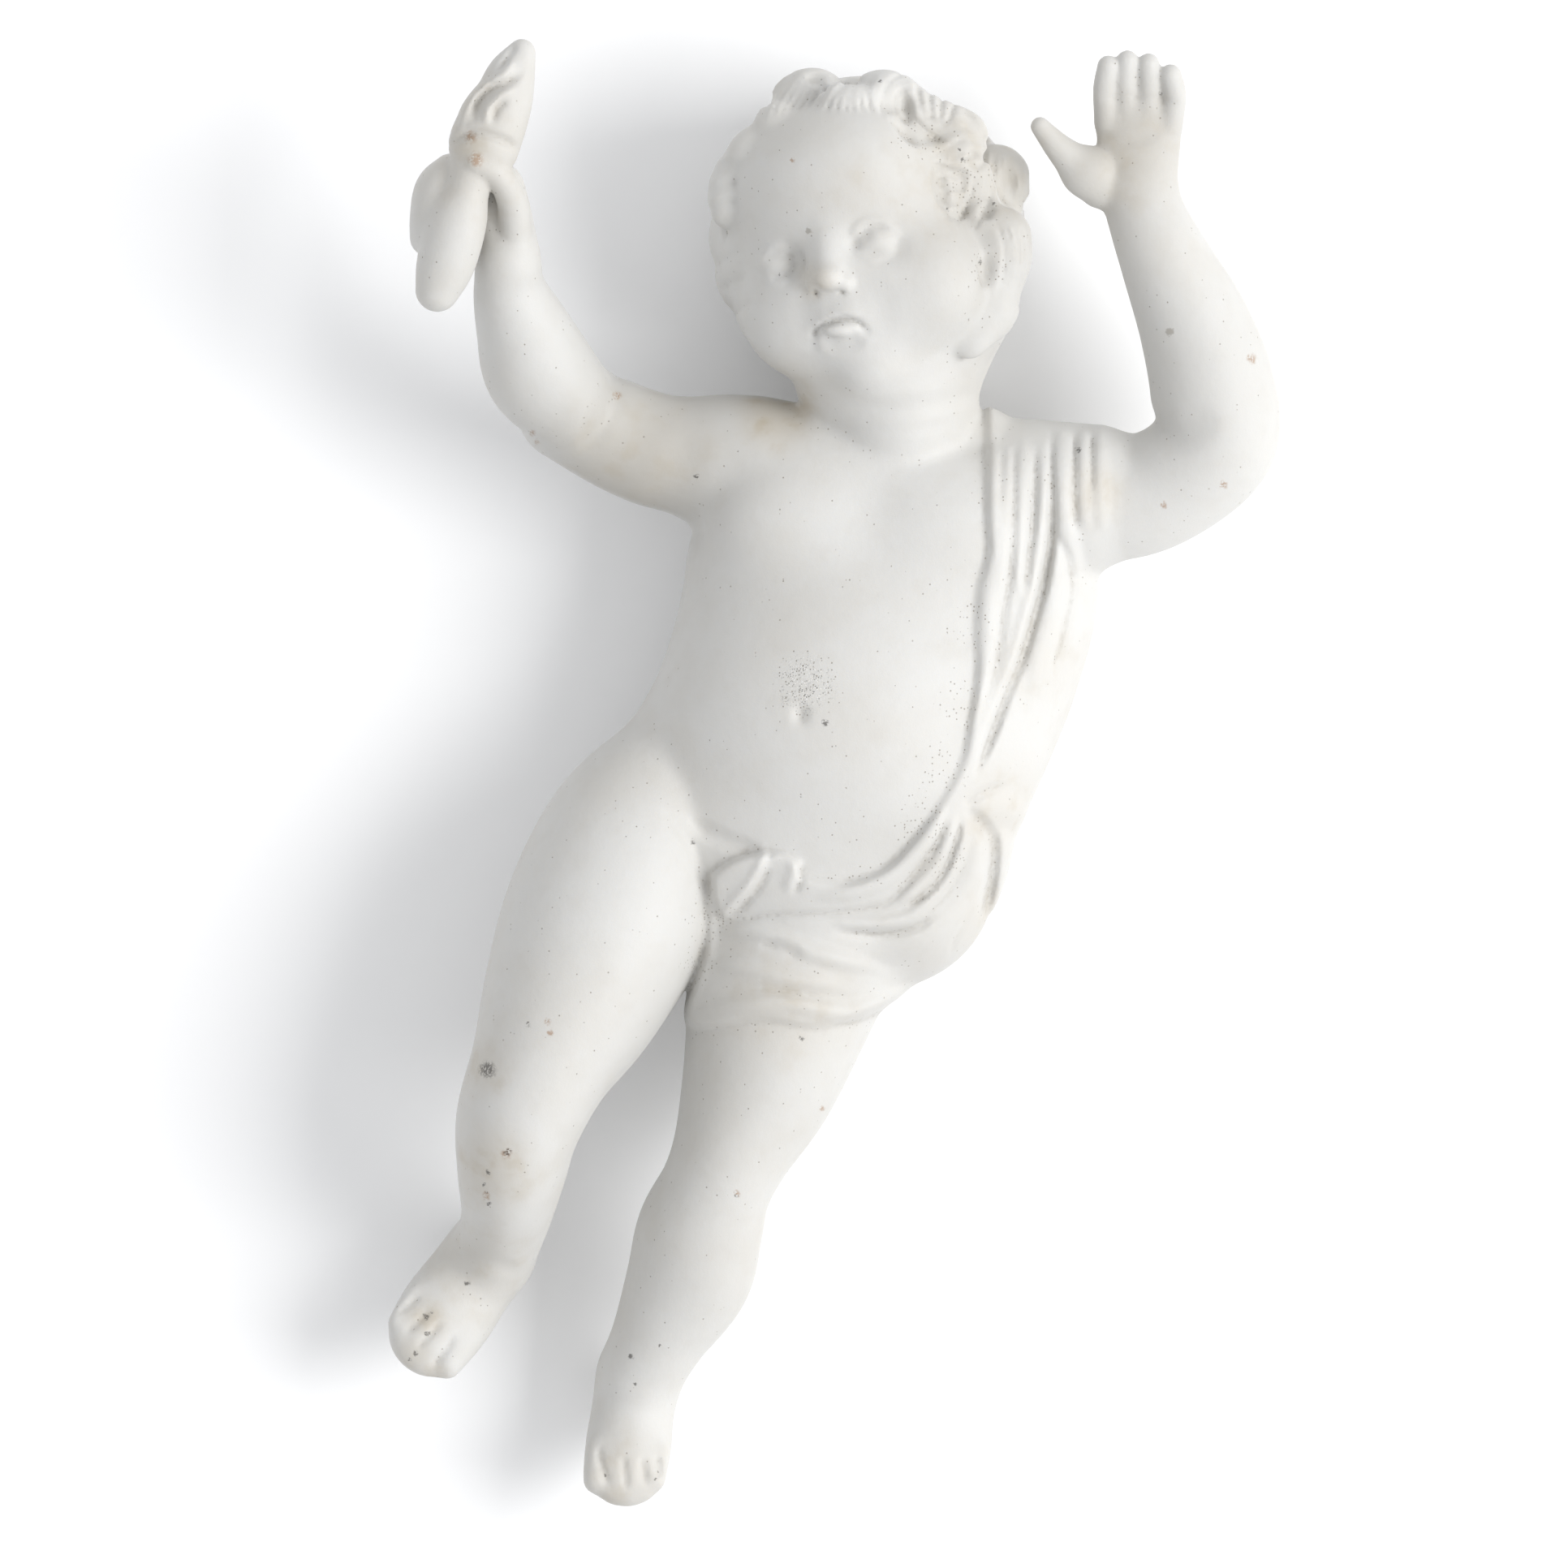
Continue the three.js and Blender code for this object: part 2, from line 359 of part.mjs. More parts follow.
// what the body is laid up from: stations, blend, and how short the ends are
const TRUNK_PARTS = [[TRUNK, 2.0, TRUNK_END], [SHOULDERS, 2.2, 1.0]];
const LIMBS = [
  [RIGHT_LEG, 1.0],
  [LEFT_LEG, 1.6],
  [LEFT_UPPER_ARM, 1.5],
  [LEFT_PALM, 0.8],
  [RIGHT_UPPER_ARM, 2.0],
  [RIGHT_FOREARM, 0.9],
  [NECK, 1.2],
];
const HAND_PARTS = [
  [LEFT_THUMB, 0.8],
  [RIGHT_PALM, 0.8],
  [RIGHT_FINGERS, 0.6],
  [TORCH_HANDLE, 0.6],
  [TORCH_FLAME, 0.5],
  [RIGHT_THUMB, 0.4],
];
const LEFT_THUMB_BALL = [[16.8, 31.4, 16.0], [2.0, 1.8, 1.5], 0.4];
// height, half width and half depth of a finger at its root, knuckle and tip
const FINGER_SIZES = [[15.9, 0.88, 0.9], [16.5, 0.84, 0.85], [16.9, 0.76, 0.75]];
const FINGER_BLEND = 0.4;
const FOOT_BLEND = 2.5;
const TOE_BLEND = 0.6;
const TOE_GROOVE = [0.42, -0.2];
// how softly tufts, low tufts and pits run into the hair
const TUFT_BLEND = 1.2;
const LOW_TUFT_BLEND = 0.6;
const PIT_BLEND = 0.6;
// how far a tuft sinks into the head and a pit stands over it, as shares of their depth
const TUFT_SINK = 0.45;
const PIT_RISE = 0.3;
// the hollow of an eye: how far aside and up its middle is, shares of the eye's size, depth, blend
const EYE_HOLLOW = [0.1, 1.0, 1.3, 1.25, 1.5, 1.3];
// the ball of an eye: how deep its middle is, half depth, blend
const EYE_BALL = [1.5, 1.55, 0.3];
const EYE_CORNER_BLEND = 0.5;
const NOSE_BLENDS = [1.4, 0.45, 0.2];
const LIP_BLENDS = [0.5, 0.25];
const MOUTH_GROOVE = [0.36, -0.26];
const NAVEL_BLEND = 0.9;
// what is drawn on the figure is drawn on all that is higher than this
const CLOTH_FLOOR = 4.0;
const BODY_FLOOR = 6.0;
const FOOT_FLOOR = 7.0;
const FACE_FLOOR = 8.0;
const TORCH_FLOOR = 15.0;
// the height over which the cloth thins out, and how soft its edges are
const CLOTH_FADE = 2.0;
const CLOTH_SOFT = 0.4;
const LEAF_SOFT = 0.25;
const CLOTH_SOFT_FAR = 1.3;
const CLOTH_SOFT_FROM = 13.0;
const CLOTH_SOFT_TO = 17.0;

// A smooth run of stations through the given ones.
function smoothRun(stations, steps) {
  const mirror = (a, b) => a.map((v, i) => 2 * v - b[i]);
  const last = stations.length - 1;
  const all = [mirror(stations[0], stations[1]), ...stations, mirror(stations[last], stations[last - 1])];
  const run = [];
  for (let n = 0; n < last; n += 1) {
    const [a, b, c, d] = all.slice(n, n + 4);
    for (let step = 0; step < steps; step += 1) {
      const t = step / steps;
      run.push(b.map((v, i) => {
        const pull = (c[i] - a[i]) * t;
        const bend = (2 * a[i] - 5 * v + 4 * c[i] - d[i]) * t * t;
        const twist = (3 * v - a[i] - 3 * c[i] + d[i]) * t ** 3;
        return 0.5 * (2 * v + pull + bend + twist);
      }));
    }
  }
  run.push(stations[last]);
  return run;
}

// Square of the distance from a point to a short line, and the share of the line at which it is met.
function squareDistance(point, from, to) {
  let length = 0;
  let along = 0;
  for (let i = 0; i < point.length; i += 1) {
    length += (to[i] - from[i]) ** 2;
    along += (point[i] - from[i]) * (to[i] - from[i]);
  }
  const t = Math.min(Math.max(along / Math.max(length, TINY), 0), 1);
  let near = 0;
  for (let i = 0; i < point.length; i += 1) {
    near += (point[i] - from[i] - t * (to[i] - from[i])) ** 2;
  }
  return [near, t];
}

// One link of a limb, with the directions along it, across it and to its front.
function makeLink(from, to, end) {
  const along = new THREE.Vector3(to[0] - from[0], to[1] - from[1], to[2] - from[2]);
  const length = along.length();
  along.normalize();
  const across = new THREE.Vector3().crossVectors(along, TO_VIEWER).normalize();
  const front = new THREE.Vector3().crossVectors(across, along);
  return { from, to, end, length, along, across, front };
}

function linkDistance(link, x, y, z) {
  const { from, to, along, across, front } = link;
  const [dx, dy, dz] = [x - from[0], y - from[1], z - from[2]];
  const reach = dx * along.x + dy * along.y + dz * along.z;
  const t = Math.min(Math.max(reach / link.length, 0), 1);
  const halfWidth = from[3] + t * (to[3] - from[3]);
  const halfDepth = from[4] + t * (to[4] - from[4]);
  const beyond = reach - t * link.length;
  const aside = dx * across.x + dy * across.y + dz * across.z;
  const ahead = dx * front.x + dy * front.y + dz * front.z;
  const wide = (aside / halfWidth) ** 2;
  const deep = (ahead / halfDepth) ** 2;
  const halfEnd = halfWidth * link.end;
  const cap = (beyond / halfEnd) ** 2;
  const inner = Math.sqrt(wide + deep + cap);
  const slope = Math.sqrt(wide / halfWidth ** 2 + deep / halfDepth ** 2 + cap / halfEnd ** 2) + TINY;
  return (inner * (inner - 1)) / slope;
}

class Clay {
  // A block of space in small cells. Each cell holds its distance to the surface, less than nothing inside.
  constructor(low, high, cell) {
    this.low = low;
    this.cell = cell;
    this.count = low.map((from, i) => Math.ceil((high[i] - from) / cell) + 1);
    this.field = new Float32Array(this.count[0] * this.count[1] * this.count[2]).fill(FAR_OFF);
  }

  // The first and last cell along an axis that lie between two places.
  span(axis, from, to) {
    const first = Math.floor((from - this.low[axis]) / this.cell);
    const last = Math.ceil((to - this.low[axis]) / this.cell);
    return [Math.max(first, 0), Math.min(last, this.count[axis] - 1)];
  }

  // Calls visit(number of its lowest cell, x, y) for every column of cells between two corners.
  columns(low, high, visit) {
    const [firstI, lastI] = this.span(0, low[0], high[0]);
    const [firstJ, lastJ] = this.span(1, low[1], high[1]);
    for (let i = firstI; i <= lastI; i += 1) {
      for (let j = firstJ; j <= lastJ; j += 1) {
        const column = (i * this.count[1] + j) * this.count[2];
        visit(column, this.low[0] + i * this.cell, this.low[1] + j * this.cell);
      }
    }
  }

  // Calls visit(number of the cell, x, y, z) for every cell between two corners.
  each(low, high, visit) {
    const [firstK, lastK] = this.span(2, low[2], high[2]);
    this.columns(low, high, (column, x, y) => {
      for (let k = firstK; k <= lastK; k += 1) {
        visit(column + k, x, y, this.low[2] + k * this.cell);
      }
    });
  }

  join(cellNumber, distance, blend) {
    const here = this.field[cellNumber];
    const near = Math.max(blend - Math.abs(here - distance), 0) / blend;
    this.field[cellNumber] = Math.min(here, distance) - (near ** 3 * blend) / 6;
  }

  cut(cellNumber, distance, blend) {
    const here = this.field[cellNumber];
    const near = Math.max(blend - Math.abs(here + distance), 0) / blend;
    this.field[cellNumber] = Math.max(here, -distance) + (near ** 3 * blend) / 6;
  }

  // A limb: a run of rounded links through stations of x, y, z, half width, half depth. Its ends bulge by
  // a share of their half width.
  add(stations, blend, end = 1) {
    const run = smoothRun(stations, LIMB_STEPS);
    const links = [];
    for (let n = 0; n + 1 < run.length; n += 1) {
      links.push(makeLink(run[n], run[n + 1], end));
    }
    const reach = blend + SPARE;
    const low = [0, 1, 2].map((i) => Math.min(...run.map((p) => p[i] - Math.max(p[3], p[4]) - reach)));
    const high = [0, 1, 2].map((i) => Math.max(...run.map((p) => p[i] + Math.max(p[3], p[4]) + reach)));
    this.each(low, high, (cellNumber, x, y, z) => {
      let distance = FAR_OFF;
      for (const link of links) {
        distance = Math.min(distance, linkDistance(link, x, y, z));
      }
      this.join(cellNumber, distance, blend);
    });
  }

  // Distance to an egg, for every cell near it. The egg may have axes of its own.
  egg(centre, radii, blend, axes, visit) {
    const reach = Math.max(...radii) + blend + SPARE;
    const low = centre.map((v) => v - reach);
    const high = centre.map((v) => v + reach);
    this.each(low, high, (cellNumber, x, y, z) => {
      const away = [x - centre[0], y - centre[1], z - centre[2]];
      let inner = 0;
      let slope = 0;
      for (let i = 0; i < 3; i += 1) {
        const along = axes[i][0] * away[0] + axes[i][1] * away[1] + axes[i][2] * away[2];
        inner += (along / radii[i]) ** 2;
        slope += (along / radii[i] ** 2) ** 2;
      }
      inner = Math.sqrt(inner);
      visit(cellNumber, (inner * (inner - 1)) / (Math.sqrt(slope) + TINY));
    });
  }

  blob(centre, radii, blend, axes = VIEW_AXES) {
    this.egg(centre, radii, blend, axes, (cellNumber, distance) => this.join(cellNumber, distance, blend));
  }

  scoop(centre, radii, blend, axes = VIEW_AXES) {
    this.egg(centre, radii, blend, axes, (cellNumber, distance) => this.cut(cellNumber, distance, blend));
  }

  // Lifts or sinks all that is seen from the front by lift(x, y), above a level where it fades out.
  relief(low, high, floor, fade, lift) {
    const { count, cell } = this;
    const levels = Array.from({ length: count[2] }, (_, k) => {
      const rise = Math.min(Math.max((this.low[2] + k * cell - floor + fade) / fade, 0), 1);
      return rise * rise * (3 - 2 * rise);
    });
    this.columns(low, high, (column, x, y) => {
      const amount = lift(x, y);
      for (let k = 0; k < count[2]; k += 1) {
        this.field[column + k] -= amount * levels[k];
      }
    });
  }

  // A ridge that follows a line in the view, or a groove where height is less than nothing.
  stroke(points, width, height, floor) {
    const run = smoothRun(points, STROKE_STEPS);
    const low = [0, 1].map((i) => Math.min(...run.map((p) => p[i])) - width);
    const high = [0, 1].map((i) => Math.max(...run.map((p) => p[i])) + width);
    this.relief(low, high, floor, STROKE_FADE, (x, y) => {
      let lift = 0;
      for (let n = 0; n + 1 < run.length; n += 1) {
        const [near, t] = squareDistance([x, y], run[n], run[n + 1]);
        const part = (n + t) / (run.length - 1);
        const end = Math.min(Math.min(part, 1 - part) / STROKE_TAPER, 1);
        const full = end * (2 - end);
        const half = width * (0.45 + 0.55 * full);
        lift = Math.max(lift, full * Math.max(1 - near / half ** 2, 0) ** 2);
      }
      return lift * height;
    });
  }

  // A layer laid over all that is seen inside a closed line. Its edge is softer at its far side.
  sheet(edge, thickness, soft) {
    const ring = smoothRun([...edge, edge[0]], EDGE_STEPS);
    const low = [0, 1].map((i) => Math.min(...ring.map((p) => p[i])) - 1);
    const high = [0, 1].map((i) => Math.max(...ring.map((p) => p[i])) + 1);
    this.relief(low, high, CLOTH_FLOOR, CLOTH_FADE, (x, y) => {
      let near = FAR_OFF ** 2;
      let inside = false;
      for (let n = 0; n + 1 < ring.length; n += 1) {
        const [p, q] = [ring[n], ring[n + 1]];
        near = Math.min(near, squareDistance([x, y], p, q)[0]);
        const crossing = ((q[0] - p[0]) * (y - p[1])) / (q[1] - p[1]) + p[0];
        if (p[1] > y !== q[1] > y && x < crossing) {
          inside = !inside;
        }
      }
      const past = Math.min(Math.max((x - CLOTH_SOFT_FROM) / (CLOTH_SOFT_TO - CLOTH_SOFT_FROM), 0), 1);
      const width = soft + (CLOTH_SOFT_FAR - soft) * past;
      const far = (inside ? 1 : -1) * Math.sqrt(near);
      const step = Math.min(Math.max(far / (2 * width) + 0.5, 0), 1);
      return thickness * step * step * (3 - 2 * step);
    });
  }

  // Height of the surface that the viewer sees at x and y, nothing where there is none.
  top(x, y) {
    const { count, cell, field } = this;
    const place = [x, y].map((v, i) => Math.min(Math.max((v - this.low[i]) / cell, 0), count[i] - 1.001));
    const [i, j] = place.map(Math.floor);
    const [u, v] = [place[0] - i, place[1] - j];
    const at = (di, dj, k) => field[((i + di) * count[1] + j + dj) * count[2] + k];
    const row = (dj, k) => at(0, dj, k) * (1 - u) + at(1, dj, k) * u;
    const value = (k) => row(0, k) * (1 - v) + row(1, k) * v;
    for (let k = count[2] - 2; k >= 0; k -= 1) {
      const [here, above] = [value(k), value(k + 1)];
      if (here < 0 && above >= 0) {
        return this.low[2] + cell * (k + here / (here - above));
      }
    }
    return 0;
  }

  // Rounds every hard join a little, by mixing each cell with its neighbours along each axis.
  soften() {
    const { count } = this;
    const strides = [count[1] * count[2], count[2], 1];
    strides.forEach((stride, axis) => {
      const before = this.field.slice();
      for (let n = 0; n < before.length; n += 1) {
        const place = Math.floor(n / stride) % count[axis];
        const lower = place > 0 ? before[n - stride] : before[n];
        const upper = place + 1 < count[axis] ? before[n + stride] : before[n];
        this.field[n] = 0.5 * before[n] + 0.25 * (lower + upper);
      }
    });
  }
}

// The skin of the clay

// Every cell is a cube of six wedges round its long diagonal. Each is a walk from corner 0 to corner 7.
const WEDGES = [[0, 1, 3, 7], [0, 1, 5, 7], [0, 2, 3, 7], [0, 2, 6, 7], [0, 4, 5, 7], [0, 4, 6, 7]];

// Skins the clay with triangles where its distance passes through nothing.
function skin(clay) {
  const { count, field, cell, low } = clay;
  const strides = [count[1] * count[2], count[2], 1];
  const offsets = Array.from({ length: CUBE_CORNERS }, (_, corner) => {
    return [0, 1, 2].reduce((sum, axis) => sum + ((corner >> axis) & 1) * strides[axis], 0);
  });
  const places = [];
  const faces = [];
  const known = new Map();

  const place = (node) => {
    const i = Math.floor(node / strides[0]);
    const j = Math.floor((node % strides[0]) / strides[1]);
    return [low[0] + i * cell, low[1] + j * cell, low[2] + (node % strides[1]) * cell];
  };
  // The point on the line between two corners of a wedge where the surface passes.
  const crossing = (base, a, b) => {
    const [first, second] = [base + offsets[Math.min(a, b)], base + offsets[Math.max(a, b)]];
    const key = first * CUBE_CORNERS + (Math.max(a, b) - Math.min(a, b));
    if (!known.has(key)) {
      const share = field[first] / (field[first] - field[second]);
      const t = Math.min(Math.max(share, CLOSEST), 1 - CLOSEST);
      const [p, q] = [place(first), place(second)];
      known.set(key, places.length);
      places.push(p.map((v, axis) => v + t * (q[axis] - v)));
    }
    return known.get(key);
  };
  const addFace = (a, b, c, outward) => {
    const [p, q, r] = [places[a], places[b], places[c]];
    const [u, v] = [q.map((x, i) => x - p[i]), r.map((x, i) => x - p[i])];
    const facing = (u[1] * v[2] - u[2] * v[1]) * outward[0]
      + (u[2] * v[0] - u[0] * v[2]) * outward[1]
      + (u[0] * v[1] - u[1] * v[0]) * outward[2];
    faces.push(facing > 0 ? [a, b, c] : [a, c, b]);
  };

  const skinWedge = (base, wedge) => {
    const inside = wedge.filter((corner) => field[base + offsets[corner]] < 0);
    const outside = wedge.filter((corner) => field[base + offsets[corner]] >= 0);
    const middle = (corners, axis) => {
      return corners.reduce((sum, corner) => sum + ((corner >> axis) & 1), 0) / corners.length;
    };
    const outward = [0, 1, 2].map((axis) => middle(outside, axis) - middle(inside, axis));
    if (inside.length === 2) {
      const [a, b] = inside;
      const [c, d] = outside;
      const ring = [crossing(base, a, c), crossing(base, a, d), crossing(base, b, d), crossing(base, b, c)];
      addFace(ring[0], ring[1], ring[2], outward);
      addFace(ring[0], ring[2], ring[3], outward);
    } else {
      const [alone, others] = inside.length === 1 ? [inside[0], outside] : [outside[0], inside];
      const [a, b, c] = others.map((other) => crossing(base, alone, other));
      addFace(a, b, c, outward);
    }
  };

  for (let i = 0; i + 1 < count[0]; i += 1) {
    for (let j = 0; j + 1 < count[1]; j += 1) {
      for (let k = 0; k + 1 < count[2]; k += 1) {
        const base = i * strides[0] + j * strides[1] + k;
        const full = offsets.reduce((sum, offset) => sum + (field[base + offset] < 0 ? 1 : 0), 0);
        if (full > 0 && full < CUBE_CORNERS) {
          for (const wedge of WEDGES) {
            const below = wedge.filter((corner) => field[base + offsets[corner]] < 0).length;
            if (below > 0 && below < wedge.length) {
              skinWedge(base, wedge);
            }
          }
        }
      }
    }
  }
  return { places, faces };
}

// Cutting the skin down to few faces

// How far a point lies from the planes of the faces round it, as ten sums.
function planeSums(p, q, r) {
  const [u, v] = [q.map((x, i) => x - p[i]), r.map((x, i) => x - p[i])];
  const normal = [u[1] * v[2] - u[2] * v[1], u[2] * v[0] - u[0] * v[2], u[0] * v[1] - u[1] * v[0]];
  const size = Math.hypot(...normal);
  const [a, b, c] = normal.map((x) => x / (size + TINY));
  const d = -(a * p[0] + b * p[1] + c * p[2]);
  return [a * a, a * b, a * c, a * d, b * b, b * c, b * d, c * c, c * d, d * d].map((x) => x * size);
}

function errorAt(sums, [x, y, z]) {
  return sums[0] * x * x + 2 * sums[1] * x * y + 2 * sums[2] * x * z + 2 * sums[3] * x
    + sums[4] * y * y + 2 * sums[5] * y * z + 2 * sums[6] * y
    + sums[7] * z * z + 2 * sums[8] * z + sums[9];
}

// The way a face looks, and its area against the square of its longest side.
function faceShape(p, q, r) {
  const [ux, uy, uz] = [q[0] - p[0], q[1] - p[1], q[2] - p[2]];
  const [vx, vy, vz] = [r[0] - p[0], r[1] - p[1], r[2] - p[2]];
  const normal = [uy * vz - uz * vy, uz * vx - ux * vz, ux * vy - uy * vx];
  const size = Math.sqrt(normal[0] ** 2 + normal[1] ** 2 + normal[2] ** 2) + TINY;
  const third = (ux - vx) ** 2 + (uy - vy) ** 2 + (uz - vz) ** 2;
  const longest = Math.max(ux * ux + uy * uy + uz * uz, vx * vx + vy * vy + vz * vz, third);
  return { normal: normal.map((v) => v / size), breadth: size / (longest + TINY) };
}

// The place with the least error for two points made into one, held near the line between them.
function bestPlace(sums, p, q) {
  const [a, b, c, d, e, f, g, h, k] = sums;
  const det = a * (e * h - f * f) - b * (b * h - c * f) + c * (b * f - c * e);
  const middle = p.map((v, i) => (v + q[i]) / 2);
  if (Math.abs(det) > FLAT_ENOUGH) {
    const spot = [
      -(d * (e * h - f * f) - b * (g * h - f * k) + c * (g * f - e * k)) / det,
      -(a * (g * h - k * f) - d * (b * h - c * f) + c * (b * k - c * g)) / det,
      -(a * (e * k - f * g) - b * (b * k - c * g) + d * (b * f - c * e)) / det,
    ];
    const far = Math.hypot(...spot.map((v, i) => v - middle[i]));
    if (far < Math.hypot(...p.map((v, i) => v - q[i]))) {
      return spot;
    }
  }
  return middle;
}

// A list that always gives up its least entry first.
class Queue {
  constructor() {
    this.entries = [];
  }

  push(entry) {
    const { entries } = this;
    let n = entries.length;
    entries.push(entry);
    while (n > 0 && entries[(n - 1) >> 1].error > entry.error) {
      entries[n] = entries[(n - 1) >> 1];
      n = (n - 1) >> 1;
    }
    entries[n] = entry;
  }

  pop() {
    const { entries } = this;
    const least = entries[0];
    const last = entries.pop();
    let n = 0;
    while (entries.length > 0) {
      let child = 2 * n + 1;
      if (child + 1 < entries.length && entries[child + 1].error < entries[child].error) {
        child += 1;
      }
      if (child >= entries.length || entries[child].error >= last.error) {
        entries[n] = last;
        break;
      }
      entries[n] = entries[child];
      n = child;
    }
    return least;
  }
}

// Folds the cheapest edges away, one at a time, until no more faces than wanted are left.
function thin({ places, faces }, wanted) {
  const sums = places.map(() => new Array(10).fill(0));
  const around = places.map(() => new Set());
  const age = new Array(places.length).fill(0);
  faces.forEach((face, n) => {
    const plane = planeSums(...face.map((corner) => places[corner]));
    for (const corner of face) {
      plane.forEach((value, i) => {
        sums[corner][i] += value;
      });
      around[corner].add(n);
    }
  });
  const neighbours = (corner) => {
    const found = new Set();
    for (const n of around[corner]) {
      faces[n].forEach((other) => found.add(other));
    }
    found.delete(corner);
    return found;
  };

  const queue = new Queue();
  const weigh = (a, b) => {
    const both = sums[a].map((value, i) => value + sums[b][i]);
    const spot = bestPlace(both, places[a], places[b]);
    const length = places[a].reduce((sum, v, i) => sum + (v - places[b][i]) ** 2, 0);
    const error = errorAt(both, spot) + length * LENGTH_WEIGHT;
    queue.push({ error, a, b, spot, ages: age[a] + age[b] });
  };
  faces.forEach((face) => {
    face.forEach((corner, i) => {
      const next = face[(i + 1) % 3];
      if (corner < next) {
        weigh(corner, next);
      }
    });
  });

  // Whether every face that stays keeps its side and some breadth when a corner moves to a new spot.
  const staysSound = (corner, gone, spot) => {
    for (const n of around[corner]) {
      const face = faces[n];
      if (!face.includes(gone)) {
        const before = faceShape(...face.map((c) => places[c]));
        const after = faceShape(...face.map((c) => (c === corner ? spot : places[c])));
        const turn = before.normal.reduce((sum, v, i) => sum + v * after.normal[i], 0);
        if (before.breadth > LEAST_BREADTH && turn < LEAST_TURN) {
          return false;
        }
        if (after.breadth < Math.min(LEAST_BREADTH, before.breadth)) {
          return false;
        }
      }
    }
    return true;
  };

  let left = faces.length;
  while (left > wanted && queue.entries.length > 0) {
    const { a, b, spot, ages } = queue.pop();
    if (around[a].size > 0 && around[b].size > 0 && ages === age[a] + age[b]) {
      const [ringA, ringB] = [neighbours(a), neighbours(b)];
      const shared = [...ringA].filter((corner) => ringB.has(corner));
      if (ringA.has(b) && shared.length === 2 && staysSound(a, b, spot) && staysSound(b, a, spot)) {
        for (const n of around[b]) {
          if (faces[n].includes(a)) {
            faces[n].forEach((corner) => corner !== b && around[corner].delete(n));
            faces[n] = null;
            left -= 1;
          } else {
            faces[n] = faces[n].map((corner) => (corner === b ? a : corner));
            around[a].add(n);
          }
        }
        around[b] = new Set();
        places[a] = spot;
        sums[a] = sums[a].map((value, i) => value + sums[b][i]);
        age[a] += age[b] + 1;
        for (const corner of neighbours(a)) {
          weigh(a, corner);
        }
      }
    }
  }
  return { places, faces: faces.filter((face) => face !== null) };
}

// Carving the figure

// A place on the head in the figure's axes.
function onHead([right, up, front]) {
  return HEAD.map((v, i) => v + right * HEAD_RIGHT[i] + up * HEAD_UP[i] + front * HEAD_FRONT[i]);
}

// Axes turned in the view by some degrees.
function turned(degrees) {
  const angle = THREE.MathUtils.degToRad(degrees);
  return [[Math.cos(angle), Math.sin(angle), 0], [-Math.sin(angle), Math.cos(angle), 0], [0, 0, 1]];
}

// Stations given by their height over the skin.
function seated(clay, stations) {
  return stations.map(([x, y, rise, ...sizes]) => [x, y, clay.top(x, y) + rise, ...sizes]);
}

// A foot that points along a direction in the view, its toes lifted.
function carveFoot(clay, heel, [aheadX, aheadY], size, toeSide) {
  const at = (ahead, aside, z) => [
    heel[0] + size * (aheadX * ahead - aheadY * aside),
    heel[1] + size * (aheadY * ahead + aheadX * aside),
    z,
  ];
  clay.add(FOOT.map(([ahead, z, width, depth]) => [...at(ahead, 0, z), size * width, depth]), FOOT_BLEND);
  for (const [aside, ahead, radius] of TOES) {
    const toe = TOE_BENDS.map(([back, z, width]) => {
      return [...at(ahead + back, toeSide * aside, z), radius * width, radius];
    });
    clay.add(toe, TOE_BLEND);
  }
}

function carveBody(clay) {
  for (const [stations, blend, end] of TRUNK_PARTS) {
    clay.add(stations, blend, end);
  }
  for (const [centre, radii, blend] of TRUNK_FORMS) {
    clay.blob(centre, radii, blend);
  }
  for (const [stations, blend] of LIMBS) {
    clay.add(stations, blend);
  }
  carveFoot(clay, LEFT_HEEL, LEFT_FOOT_AHEAD, LEFT_FOOT_SIZE, 1);
  carveFoot(clay, RIGHT_HEEL, RIGHT_FOOT_AHEAD, RIGHT_FOOT_SIZE, -1);
  for (const [centre, radii, blend] of SKULL_FORMS) {
    clay.blob(onHead(centre), radii, blend, HEAD_AXES);
  }
  clay.blob(...DOUBLE_CHIN);
}

function carveHands(clay) {
  for (const finger of LEFT_FINGERS) {
    clay.add(finger.map((place, n) => [...place, ...FINGER_SIZES[n]]), FINGER_BLEND);
  }
  clay.blob(...LEFT_THUMB_BALL);
  for (const [stations, blend] of HAND_PARTS) {
    clay.add(stations, blend);
  }
  for (const [line, width, height] of FLICKS) {
    clay.stroke(line, width, height, TORCH_FLOOR);
  }
  for (const line of TOE_GROOVES) {
    clay.stroke(line, ...TOE_GROOVE, FOOT_FLOOR);
  }
}

function carveHair(clay) {
  clay.blob(...HAIR_CAP);
  for (const [centre, radii, blend] of HAIR_MASSES) {
    clay.blob(centre, radii, blend);
  }
  for (const [x, y, width, height, thickness, turn] of TUFTS) {
    const z = (clay.top(x, y) || HEAD[2]) - TUFT_SINK * thickness;
    clay.blob([x, y, z], [width, height, thickness], TUFT_BLEND, turned(turn));
  }
  for (const [x, y, width, height, thickness, turn, z] of LOW_TUFTS) {
    clay.blob([x, y, z], [width, height, thickness], LOW_TUFT_BLEND, turned(turn));
  }
  for (const [x, y, width, height, depth, turn] of HAIR_PITS) {
    const z = clay.top(x, y) + PIT_RISE * depth;
    clay.scoop([x, y, z], [width, height, depth], PIT_BLEND, turned(turn));
  }
}

